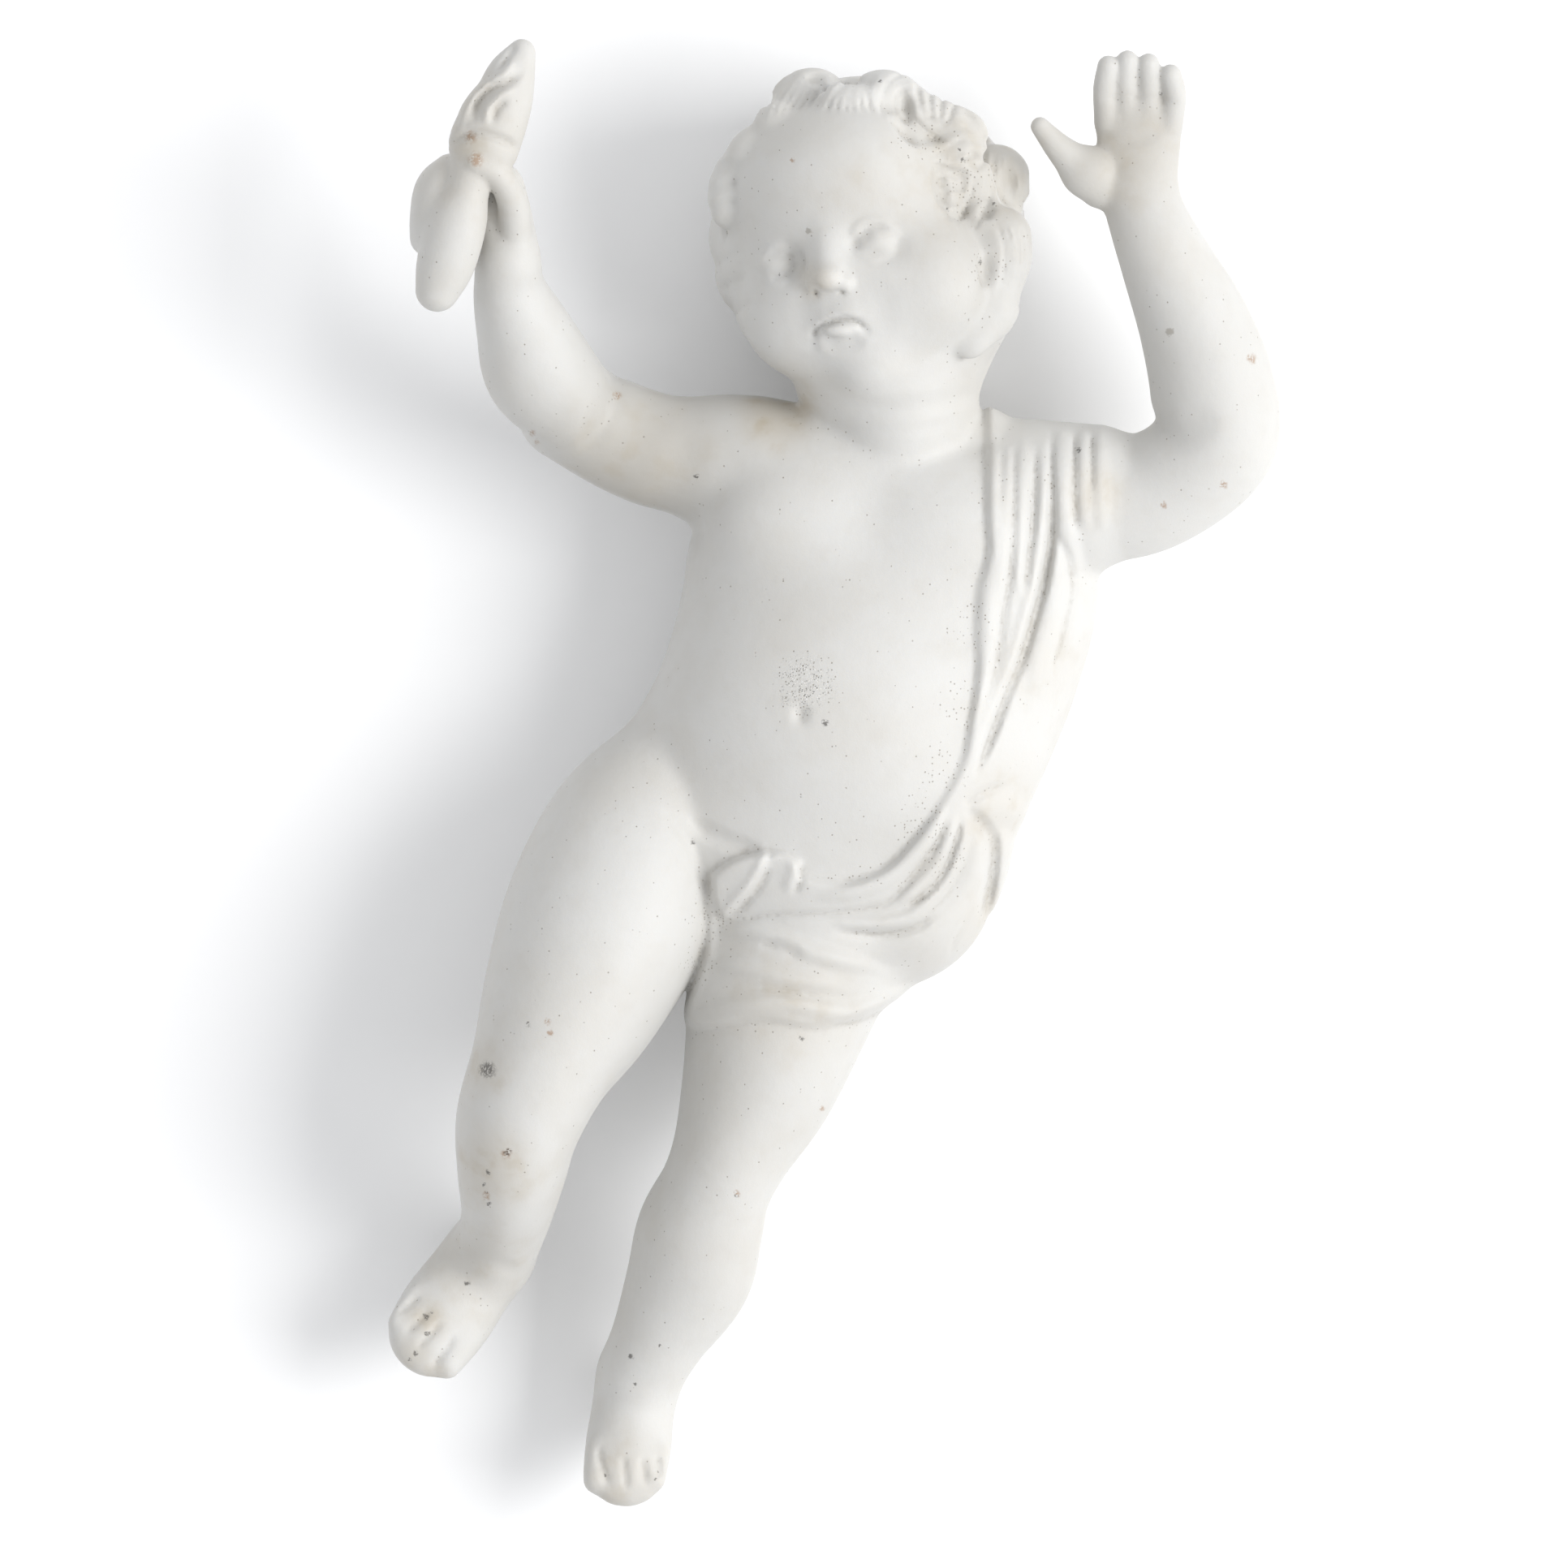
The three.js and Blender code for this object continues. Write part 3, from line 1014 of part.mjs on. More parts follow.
function carveFace(clay) {
  const [aside, rise, wide, high, deep, blend] = EYE_HOLLOW;
  const [sink, ballDepth, ballBlend] = EYE_BALL;
  for (const [x, y, width, height] of EYES) {
    const z = clay.top(x, y);
    clay.scoop([x + aside, y + aside, z + rise], [width * wide, height * high, deep], blend);
    clay.blob([x, y, z - sink], [width, height, ballDepth], ballBlend);
  }
  for (const corner of seated(clay, EYE_CORNERS)) {
    clay.scoop(corner.slice(0, 3), corner.slice(3), EYE_CORNER_BLEND);
  }
  const noseForms = seated(clay, NOSE_FORMS);
  clay.add(seated(clay, NOSE_RIDGE), NOSE_BLENDS[0]);
  for (const form of noseForms) {
    clay.blob(form.slice(0, 3), form.slice(3), NOSE_BLENDS[1]);
  }
  for (const nostril of seated(clay, NOSTRILS)) {
    clay.scoop(nostril.slice(0, 3), nostril.slice(3), NOSE_BLENDS[2]);
  }
  const [lower] = seated(clay, [LOWER_LIP]);
  clay.add(seated(clay, UPPER_LIP), LIP_BLENDS[0]);
  clay.blob(lower.slice(0, 3), lower.slice(3), LIP_BLENDS[1]);
  clay.stroke(MOUTH_LINE, ...MOUTH_GROOVE, FACE_FLOOR);
  for (const [line, width, depth] of DENTS) {
    clay.stroke(line, width, -depth, BODY_FLOOR);
  }
  for (const [line, width, height] of LIDS) {
    clay.stroke(line, width, height, FACE_FLOOR);
  }
}

function carveDrapery(clay) {
  const [navel] = seated(clay, [NAVEL]);
  clay.scoop(navel.slice(0, 3), navel.slice(3), NAVEL_BLEND);
  clay.sheet(CLOTH_EDGE, CLOTH_THICKNESS, CLOTH_SOFT);
  clay.sheet(LEAF_EDGE, LEAF_THICKNESS, LEAF_SOFT);
  for (const [line, width, height] of FOLDS) {
    clay.stroke(line, width, height, CLOTH_FLOOR);
  }
  for (const [line, width, depth] of VALLEYS) {
    clay.stroke(line, width, -depth, CLOTH_FLOOR);
  }
}

// Building the solid

const clay = new Clay(BLOCK_LOW, BLOCK_HIGH, CELL);
carveBody(clay);
clay.soften();
carveHands(clay);
carveHair(clay);
carveFace(clay);
carveDrapery(clay);
const figure = thin(skin(clay), FACES);

const wasm = await Module();
wasm.setup();
const { Manifold, Mesh } = wasm;

// A solid from corner places and faces.
function solidFrom(places, faces) {
  const used = [...new Set(faces.flat())];
  const order = new Map(used.map((corner, n) => [corner, n]));
  return new Manifold(new Mesh({
    numProp: 3,
    vertProperties: Float32Array.from(used.flatMap((corner) => places[corner])),
    triVerts: Uint32Array.from(faces.flat().map((corner) => order.get(corner))),
  }));
}

// The block under the floor, which cuts the flats that the figure rests on.
function underFloor() {
  const [width, length, depth] = BLOCK_HIGH.map((high, i) => 2 * (high - BLOCK_LOW[i]));
  const box = new THREE.BoxGeometry(width, length, depth);
  const spots = box.getAttribute("position");
  const places = [];
  const faces = [];
  const known = new Map();
  const number = (n) => {
    const place = [spots.getX(n), spots.getY(n), spots.getZ(n) - depth / 2];
    const key = place.join(" ");
    if (!known.has(key)) {
      known.set(key, places.length);
      places.push(place);
    }
    return known.get(key);
  };
  for (let n = 0; n < box.index.count; n += 3) {
    faces.push([0, 1, 2].map((i) => number(box.index.getX(n + i))));
  }
  return solidFrom(places, faces);
}

const solid = solidFrom(figure.places, figure.faces).subtract(underFloor());
const cut = solid.getMesh();
const positions = new Float32Array(cut.numVert * 3);
for (let n = 0; n < cut.numVert; n += 1) {
  for (let axis = 0; axis < 3; axis += 1) {
    const value = cut.vertProperties[n * cut.numProp + axis];
    positions[n * 3 + axis] = (value - REST_SPOT[axis]) * HUNDREDTH;
  }
}
const geometry = new THREE.BufferGeometry();
geometry.setAttribute("position", new THREE.BufferAttribute(positions, 3));
geometry.setIndex(new THREE.BufferAttribute(Uint32Array.from(cut.triVerts), 1));
geometry.computeVertexNormals();

const bisque = new THREE.MeshStandardMaterial({ color: BISQUE, roughness: BISQUE_ROUGHNESS, metalness: 0 });
const putto = new THREE.Mesh(geometry, bisque);
putto.name = "putto_figurine";

const group = new THREE.Group();
group.name = "bisque_putto";
group.add(putto);

export default group;
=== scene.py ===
"""Bisque putto lying on its back: the fine skin of the figure, its finish, the light and the camera."""
import math

import bpy
import numpy as np
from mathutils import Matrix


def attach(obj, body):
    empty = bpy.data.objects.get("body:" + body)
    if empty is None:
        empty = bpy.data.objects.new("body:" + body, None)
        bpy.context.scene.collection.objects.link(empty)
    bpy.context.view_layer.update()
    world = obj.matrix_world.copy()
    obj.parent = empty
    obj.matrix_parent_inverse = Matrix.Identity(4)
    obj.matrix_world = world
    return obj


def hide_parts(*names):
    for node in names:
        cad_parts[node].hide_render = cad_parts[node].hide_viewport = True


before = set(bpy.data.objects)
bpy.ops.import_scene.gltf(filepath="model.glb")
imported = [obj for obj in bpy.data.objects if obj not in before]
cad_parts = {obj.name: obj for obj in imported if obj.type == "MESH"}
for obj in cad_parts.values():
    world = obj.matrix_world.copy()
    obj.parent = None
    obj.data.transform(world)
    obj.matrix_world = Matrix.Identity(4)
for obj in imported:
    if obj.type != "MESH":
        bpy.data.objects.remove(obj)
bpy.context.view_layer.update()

FIGURE_LENGTH = 0.216

# The figure is carved in hundredths of its length: x to the right of the view, y to its top, z to the viewer.
# All places and sizes are in these, unless metres are named.
HUNDREDTH = FIGURE_LENGTH / 100
# where the figure's own origin lies among the places of the carving
REST_SPOT = (2.5, 5.0, 0.0)
BLOCK_LOW = (-32.5, -61.5, -1.0)
BLOCK_HIGH = (31.5, 42.0, 25.5)
FINE_CELL = 0.2
MOST_TRIANGLES = 190000

FAR_OFF = 9.0
UP = (0.0, 0.0, 1.0)
TINY = 1e-9
LEAST_SLOPE = 1e-6
CELL_CORNERS = [(i, j, k) for i in (0, 1) for j in (0, 1) for k in (0, 1)]
# how many pieces each gap between given places is parted in
LIMB_STEPS = 6
SHEET_STEPS = 4
STROKE_STEPS = 8
STRAND_STEPS = 24
# how far round a form its distances are worked out, beyond its blend
REACH = 0.6
# how far all joins of the body are softened
SOFTENING = 0.35
# a stroke dies out over this height under its floor
STROKE_FADE = 1.5
# over this share of its length each end narrows to this share of its width
STROKE_TAPER = 0.25
STROKE_TIP = 0.45
# hollows that the mesh keeps: name, how many cells round a place they are judged over, and a full depth
HOLLOWS = (("crease", 2, 0.12), ("hollow", 7, 0.6))
HOLLOW_REACH = 1.6

# limbs and trunk: places along the middle, x, y, z, then half width and half depth
TRUNK = [
    [3.2, 11.0, 8.6, 8.0, 6.2], [2.5, 7.5, 8.6, 12.8, 8.2], [3.05, 4.0, 8.7, 13.85, 8.8],
    [2.3, 0.0, 9.2, 13.7, 9.1], [1.0, -4.0, 9.6, 13.4, 9.5], [-0.6, -8.0, 9.6, 13.2, 9.6],
    [-2.3, -12.0, 9.2, 13.5, 9.2], [-3.5, -15.5, 8.9, 13.0, 8.8], [-4.0, -17.5, 8.7, 11.2, 7.8],
]
# how short the rounded ends of the trunk are for their width
TRUNK_END = 0.45
SHOULDERS = [
    [-8.0, 11.7, 9.3, 4.3, 5.2], [-3.5, 11.5, 9.2, 4.2, 6.2], [3.0, 10.4, 9.2, 4.2, 6.8],
    [9.0, 9.1, 9.2, 4.2, 6.4], [14.0, 9.1, 9.5, 4.3, 5.6],
]
# soft forms of the trunk: centre, radii, blend
TRUNK_FORMS = [
    [[-3.4, 7.6, 13.3], [5.6, 4.2, 3.8], 3.5],
    [[7.4, 6.8, 13.3], [5.6, 4.2, 3.8], 3.5],
    [[-0.8, -6.0, 12.8], [9.6, 9.0, 6.4], 4.0],
    [[-2.5, -14.0, 11.5], [6.5, 4.5, 5.6], 3.0],
    [[-3.0, 7.0, 3.6], [5.2, 5.5, 3.8], 2.5],
    [[8.6, 6.5, 3.6], [5.2, 5.5, 3.8], 2.5],
    [[-9.5, -17.0, 5.0], [6.6, 6.0, 5.1], 2.5],
    [[1.0, -18.5, 5.0], [6.6, 6.0, 5.1], 2.5],
    [[2.2, -17.9, 8.5], [7.1, 6.0, 7.6], 1.5],
    [[9.0, 12.6, 9.0], [2.6, 2.6, 4.5], 1.2],
]
RIGHT_LEG = [
    [-11.5, -10.5, 9.6, 5.4, 5.6], [-14.2, -14.5, 11.2, 6.6, 6.8], [-16.3, -19.5, 12.6, 7.0, 7.2],
    [-18.4, -24.5, 13.8, 6.2, 6.6], [-20.5, -29.0, 14.8, 4.9, 5.6], [-22.2, -33.2, 14.6, 4.3, 4.9],
    [-22.7, -36.5, 12.6, 3.75, 4.5], [-23.1, -39.6, 9.6, 3.1, 3.8], [-23.9, -42.4, 6.8, 2.8, 3.4],
]
LEFT_LEG = [
    [-2.2, -19.0, 9.4, 7.2, 7.6], [-4.2, -25.0, 10.0, 6.4, 7.0], [-5.75, -30.5, 10.6, 5.3, 6.1],
    [-7.55, -35.0, 11.0, 4.1, 5.2], [-8.8, -38.0, 10.6, 3.8, 4.7], [-9.9, -41.0, 9.5, 4.3, 4.8],
    [-10.6, -44.0, 8.6, 4.25, 4.5], [-12.4, -47.6, 7.6, 3.35, 3.8], [-13.9, -50.6, 6.6, 2.85, 3.3],
]
LEFT_UPPER_ARM = [
    [12.5, 9.5, 9.5, 4.6, 5.6], [17.5, 9.3, 10.0, 4.5, 4.9], [21.5, 9.9, 10.9, 4.1, 4.4],
    [25.2, 13.0, 12.2, 4.3, 4.5], [25.2, 16.6, 13.2, 4.3, 4.4], [24.0, 20.8, 14.0, 3.85, 4.0],
    [22.2, 24.8, 14.7, 3.2, 3.4], [20.8, 28.0, 15.1, 2.75, 2.6], [20.1, 30.2, 15.4, 2.6, 2.0],
]
LEFT_PALM = [
    [20.2, 30.0, 15.3, 2.4, 1.8], [20.1, 32.0, 15.5, 2.75, 1.5], [20.1, 34.0, 15.7, 2.95, 1.3],
    [20.1, 35.2, 15.8, 3.0, 1.1],
]
# fingers of the raised hand: root, knuckle and tip in the view
LEFT_FINGERS = [
    [[17.95, 34.8], [17.8, 37.0], [18.0, 38.6]],
    [[19.3, 35.0], [19.2, 37.4], [19.3, 38.95]],
    [[20.75, 35.0], [20.8, 37.3], [20.75, 38.75]],
    [[22.2, 34.6], [22.5, 36.6], [22.25, 38.0]],
]
LEFT_THUMB = [
    [17.6, 30.6, 15.5, 1.7, 1.5], [15.8, 32.0, 16.2, 1.3, 1.2], [14.5, 33.2, 16.7, 0.95, 0.95],
    [13.35, 34.5, 17.1, 0.66, 0.66],
]
RIGHT_UPPER_ARM = [
    [-6.5, 11.8, 9.5, 4.2, 5.4], [-11.5, 12.2, 9.8, 4.0, 4.8], [-15.0, 13.3, 10.2, 3.8, 4.3],
    [-18.8, 15.3, 11.2, 3.6, 4.0],
]
RIGHT_FOREARM = [
    [-19.0, 15.9, 13.2, 3.4, 3.6], [-20.8, 17.9, 14.0, 3.8, 3.8], [-21.9, 20.6, 15.1, 3.2, 3.4],
    [-22.8, 23.2, 16.5, 2.5, 2.7], [-22.9, 25.6, 17.9, 2.1, 2.3],
]
RIGHT_PALM = [
    [-22.9, 25.0, 17.8, 2.1, 2.1], [-23.2, 27.5, 18.0, 2.1, 1.6], [-23.9, 30.0, 18.2, 2.2, 1.5],
]
RIGHT_THUMB = [
    [-22.4, 26.6, 18.6, 1.2, 1.3], [-22.6, 29.2, 20.2, 1.05, 1.1], [-23.5, 31.0, 21.7, 0.92, 0.9],
    [-25.1, 32.0, 22.6, 0.66, 0.66],
]
RIGHT_FINGERS = [
    [-26.8, 31.3, 19.4, 1.3, 2.0], [-27.5, 30.0, 19.2, 1.8, 2.4], [-27.9, 28.2, 19.0, 1.7, 2.4],
    [-28.3, 26.9, 18.9, 1.3, 2.0],
]
TORCH_HANDLE = [
    [-27.7, 23.3, 20.3, 1.5, 1.5], [-27.1, 25.2, 20.5, 2.0, 1.9], [-26.4, 27.8, 20.8, 2.05, 2.0],
    [-25.7, 30.0, 21.0, 1.55, 1.7], [-25.0, 32.2, 21.2, 1.7, 1.6], [-24.6, 33.4, 21.3, 2.2, 1.9],
]
TORCH_FLAME = [
    [-24.5, 33.1, 21.3, 2.4, 2.0], [-23.95, 34.6, 21.4, 2.35, 2.0], [-23.2, 36.2, 21.5, 2.0, 1.8],
    [-22.7, 37.8, 21.5, 1.65, 1.4], [-21.95, 39.4, 21.5, 0.95, 0.85],
]
NECK = [
    [3.2, 11.0, 8.8, 6.0, 6.4], [3.65, 14.0, 9.8, 5.5, 6.5], [3.65, 16.5, 10.7, 5.55, 7.0],
    [3.4, 19.0, 11.2, 5.9, 7.6],
]

# the head has its own axes: its right, its top and the way it faces
HEAD = [1.3, 28.3, 11.2]
HEAD_RIGHT = [0.932, 0.215, 0.292]
HEAD_UP = [-0.225, 0.974, 0.0]
HEAD_FRONT = [-0.285, -0.066, 0.956]
HEAD_AXES = [HEAD_RIGHT, HEAD_UP, HEAD_FRONT]
SKULL_FORMS = [
    [[0, 0.8, -0.2], [9.2, 9.0, 10.3], 0.5],
    [[0, -4.4, 3.4], [8.3, 7.6, 7.0], 2.5],
    [[-4.4, -5.4, 5.6], [3.7, 4.0, 3.7], 1.8],
    [[5.0, -5.2, 5.2], [4.1, 4.3, 3.9], 2.0],
    [[0.3, -9.9, 6.6], [2.4, 1.9, 2.2], 1.8],
    [[0, -6.6, 7.5], [3.0, 2.6, 2.2], 1.6],
    [[0, 3.6, 5.4], [6.4, 4.4, 4.6], 2.5],
]
DOUBLE_CHIN = [[1.75, 16.8, 12.6], [4.85, 3.2, 4.9], 2.0]
HAIR_CAP = [[1.7, 27.7, 9.5], [10.7, 9.8, 9.4], 0.6]
# broad masses of hair beside the face, so that it runs into the cheeks softly
HAIR_MASSES = [
    [[9.9, 26.0, 13.6], [2.4, 3.6, 4.6], 1.6],
    [[9.3, 22.6, 13.2], [2.2, 3.2, 4.6], 1.6],
    [[7.6, 19.9, 11.6], [2.5, 2.7, 4.6], 2.8],
    [[-7.3, 30.2, 12.6], [1.4, 2.8, 3.6], 1.2],
    [[-6.6, 26.0, 12.2], [1.6, 3.4, 3.4], 1.4],
    [[-5.9, 22.4, 11.6], [1.5, 2.6, 3.6], 1.4],
]
# tufts round the head in the view: x, y, half width, half height, thickness, turn in degrees
TUFTS = [
    [-2.6, 36.5, 2.6, 2.0, 2.0, 20], [-4.7, 34.9, 1.6, 1.3, 1.5, 50], [0.4, 36.1, 2.3, 1.5, 1.6, 0],
    [2.9, 36.5, 2.5, 1.9, 1.9, -10], [5.2, 35.4, 1.9, 1.5, 1.6, -30], [6.9, 34.7, 2.3, 1.5, 1.8, -15],
    [8.2, 33.4, 1.6, 2.0, 1.9, -20], [7.4, 32.6, 2.2, 1.4, 1.5, 10], [10.7, 30.9, 2.1, 2.5, 1.9, 15],
    [8.7, 30.2, 1.8, 2.4, 1.6, 10], [9.3, 28.0, 1.6, 1.5, 1.5, 30], [11.0, 26.0, 2.0, 3.0, 1.8, 0],
    [10.2, 22.8, 1.9, 3.0, 1.5, -8], [8.9, 20.6, 1.4, 2.0, 0.9, -20], [-6.7, 32.9, 1.2, 1.7, 1.6, -35],
    [-8.1, 30.1, 1.2, 2.4, 1.6, -5],
]
# tufts that lie behind the cheek, with their middle at a height of their own
LOW_TUFTS = [
    [-7.7, 26.9, 1.55, 2.2, 2.4, 5, 9.5], [-7.15, 24.0, 1.55, 2.3, 2.4, 22, 9.4],
    [-5.8, 21.6, 1.4, 2.0, 2.2, 40, 9.6], [-4.2, 19.9, 0.9, 1.3, 1.8, 42, 9.8],
]
# hollows between the locks: x, y, half width, half height, depth, turn
HAIR_PITS = [
    [-1.9, 37.9, 0.75, 0.35, 0.8, 0], [4.15, 36.0, 0.6, 1.1, 1.15, 10], [8.8, 32.1, 0.7, 0.4, 0.8, 30],
    [6.7, 30.4, 0.7, 1.5, 1.0, 10], [-8.3, 27.6, 0.45, 0.75, 0.7, 0], [11.4, 30.6, 0.5, 1.2, 0.6, 10],
    [9.6, 24.6, 0.6, 1.1, 0.7, 0], [4.4, 34.1, 0.9, 0.6, 0.8, -40], [9.9, 29.0, 0.4, 0.9, 0.7, -20],
]
# combed hair: the first and last line of each lock and any between, then how many strands
COMBS = [
    [
        [
            [[-5.6, 34.9], [-5.2, 36.0], [-4.4, 37.2], [-3.3, 38.3]],
            [[-2.2, 35.6], [-1.5, 36.3], [-1.3, 37.0], [-1.8, 37.6]],
        ],
        7,
    ],
    [
        [
            [[-1.2, 35.4], [-0.9, 36.3], [-0.3, 37.1], [0.5, 37.8]],
            [[1.9, 35.3], [1.6, 36.2], [1.6, 37.1], [2.2, 38.1]],
        ],
        6,
    ],
    [
        [
            [[2.6, 35.0], [2.6, 36.3], [3.1, 37.5], [4.2, 38.2]],
            [[3.5, 35.2], [3.4, 36.2], [3.8, 37.0], [4.6, 37.2]],
        ],
        3,
    ],
    [
        [
            [[4.9, 37.5], [5.1, 36.4], [5.4, 35.4], [6.2, 34.9]],
            [[7.6, 36.1], [7.3, 35.5], [7.1, 35.0], [6.6, 34.5]],
        ],
        4,
    ],
    [
        [
            [[3.0, 35.2], [3.6, 34.4], [4.3, 33.6], [5.2, 33.0]],
            [[4.6, 35.3], [5.2, 34.5], [6.0, 33.8], [7.0, 33.5]],
        ],
        5,
    ],
    [
        [
            [[6.0, 32.3], [7.0, 32.9], [8.2, 33.6], [9.4, 33.1], [9.5, 32.0], [8.6, 31.4]],
            [[6.9, 32.0], [7.6, 32.4], [8.2, 32.8], [8.9, 32.6], [8.9, 32.2], [8.5, 32.0]],
        ],
        3,
    ],
    [
        [
            [[7.9, 35.7], [8.8, 34.9], [9.4, 34.0], [9.9, 33.0]],
            [[8.0, 34.6], [8.6, 34.2], [9.0, 33.7], [9.3, 33.2]],
        ],
        3,
    ],
    [
        [
            [[8.4, 31.6], [7.6, 31.4], [6.7, 31.7], [5.9, 32.0]],
            [[8.5, 28.8], [7.9, 28.3], [7.2, 28.3], [6.7, 28.7]],
        ],
        8,
    ],
    [
        [
            [[8.9, 31.2], [8.7, 30.0], [8.3, 28.9], [7.6, 27.6]],
            [[10.1, 31.4], [10.0, 30.0], [9.5, 28.8], [8.7, 27.2]],
        ],
        4,
    ],
    [
        [
            [[10.2, 32.8], [10.3, 31.4], [10.6, 30.0], [11.2, 28.9]],
            [[12.3, 32.0], [12.6, 30.8], [12.4, 29.8], [12.1, 28.9]],
        ],
        6,
    ],
    [
        [
            [[10.3, 28.0], [10.9, 26.5], [10.9, 24.5], [10.4, 22.6]],
            [[12.6, 27.6], [12.9, 25.6], [12.4, 23.6], [11.6, 21.6]],
        ],
        5,
    ],
]

# the cloth: its outline in the view, and its thickness
CLOTH_EDGE = [
    [9.8, 15.6], [9.8, 12.0], [9.8, 8.2], [9.9, 5.6], [9.2, 2.8], [9.05, -0.4], [9.1, -2.9], [8.6, -6.3],
    [7.9, -9.4], [6.0, -12.6], [4.5, -14.5], [3.0, -16.0], [1.4, -16.8], [-0.2, -17.1], [-2.8, -16.6],
    [-3.2, -15.7], [-4.4, -15.2], [-5.3, -15.1], [-7.3, -15.4], [-8.8, -16.4], [-9.2, -18.0],
    [-9.4, -21.5], [-10.2, -24.0], [-10.9, -26.0], [-10.0, -27.0], [-7.0, -26.5], [-5.0, -26.4],
    [-2.4, -26.8], [-0.1, -26.5], [3.1, -25.4], [6.0, -24.4], [12.0, -19.0], [16.0, -8.0], [19.0, 0.0],
    [18.6, 4.0], [17.8, 6.0], [18.0, 10.0], [18.1, 15.6],
]
CLOTH_THICKNESS = 0.5
# the leaf of the knot: its outline and thickness
LEAF_EDGE = [
    [-9.0, -16.5], [-7.4, -15.5], [-5.3, -15.0], [-6.3, -17.2], [-7.4, -18.5], [-8.3, -19.4],
    [-8.8, -18.2],
]
LEAF_THICKNESS = 0.4
# folds, and the valleys between them: the line in the view, half width, and height or depth
FOLDS = [
    [[[10.3, 13.4], [10.3, 9], [10.4, 5], [10.0, 1.8], [9.8, -2.5], [9.1, -6.7], [8.5, -9.5]], 0.8, 0.2],
    [[[11.2, 13.4], [11.15, 8], [11.0, 5], [10.6, 1.8]], 0.6, 0.14],
    [[[12.3, 13.4], [12.1, 9], [11.95, 5.5], [12.1, 2.2]], 0.8, 0.22],
    [
        [[13.6, 13.4], [13.6, 9.2], [13.4, 5.6], [12.9, 3.0], [12.3, 0.5], [11.2, -3.5], [9.7, -7.4]],
        0.8,
        0.25,
    ],
    [[[14.9, 14.2], [15.0, 9.2], [15.3, 6.4], [15.9, 4.0]], 1.0, 0.29],
    [[[14.4, 6.4], [14.75, 3.5], [14.3, 0.7], [13.6, -1.5], [12.9, -4.0]], 1.2, 0.36],
    [[[16.4, 14.2], [16.3, 10], [16.5, 7]], 0.7, 0.2],
    [[[17.5, 14.2], [17.5, 10], [17.6, 7]], 0.8, 0.18],
    [[[9.3, -12.2], [10.8, -11.9], [12.0, -12.6]], 1.4, 0.22],
    [[[6.9, -12.0], [5.9, -13.7], [4.5, -15.4], [3.0, -16.7], [0.7, -17.7], [-2, -18.1]], 0.8, 0.36],
    [[[7.6, -12.3], [7.1, -14.2], [6.2, -16.1], [4.9, -17.5], [3.6, -18.4]], 0.65, 0.3],
    [
        [
            [8.4, -13.0], [8.0, -14.6], [7.2, -16.5], [6.0, -18.1], [4.5, -19.4], [2.2, -19.9],
            [-0.9, -19.8],
        ],
        0.75,
        0.42,
    ],
    [[[9.0, -13.4], [9.2, -14.9], [8.6, -17.5], [7.2, -19.6], [4.5, -21.3], [1.0, -22.2]], 1.4, 0.42],
    [[[-8.4, -20.4], [-6.5, -20.3], [-4.5, -20.8], [-2.4, -21.7], [0.0, -22.4], [3, -23.1]], 0.9, 0.32],
    [[[-8.9, -22.6], [-6.5, -22.9], [-3.5, -23.6], [0, -24.0]], 0.8, 0.21],
    [
        [[-9.9, -25.8], [-7, -25.4], [-3.9, -25.3], [-1.6, -25.7], [0.6, -25.9], [3, -25.0], [5, -24.2]],
        0.9,
        0.34,
    ],
    [[[10.9, -13.5], [11.0, -16.5], [10.1, -19.5]], 0.9, 0.26],
    [[[-5.25, -15.2], [-6.3, -17.2], [-8.2, -19.2]], 0.75, 0.2],
    [[[-5.0, -15.3], [-4.2, -15.2], [-3.4, -15.6]], 0.4, 0.16],
    [[[-3.35, -15.5], [-3.5, -16.6], [-3.9, -17.4]], 0.7, 0.2],
]
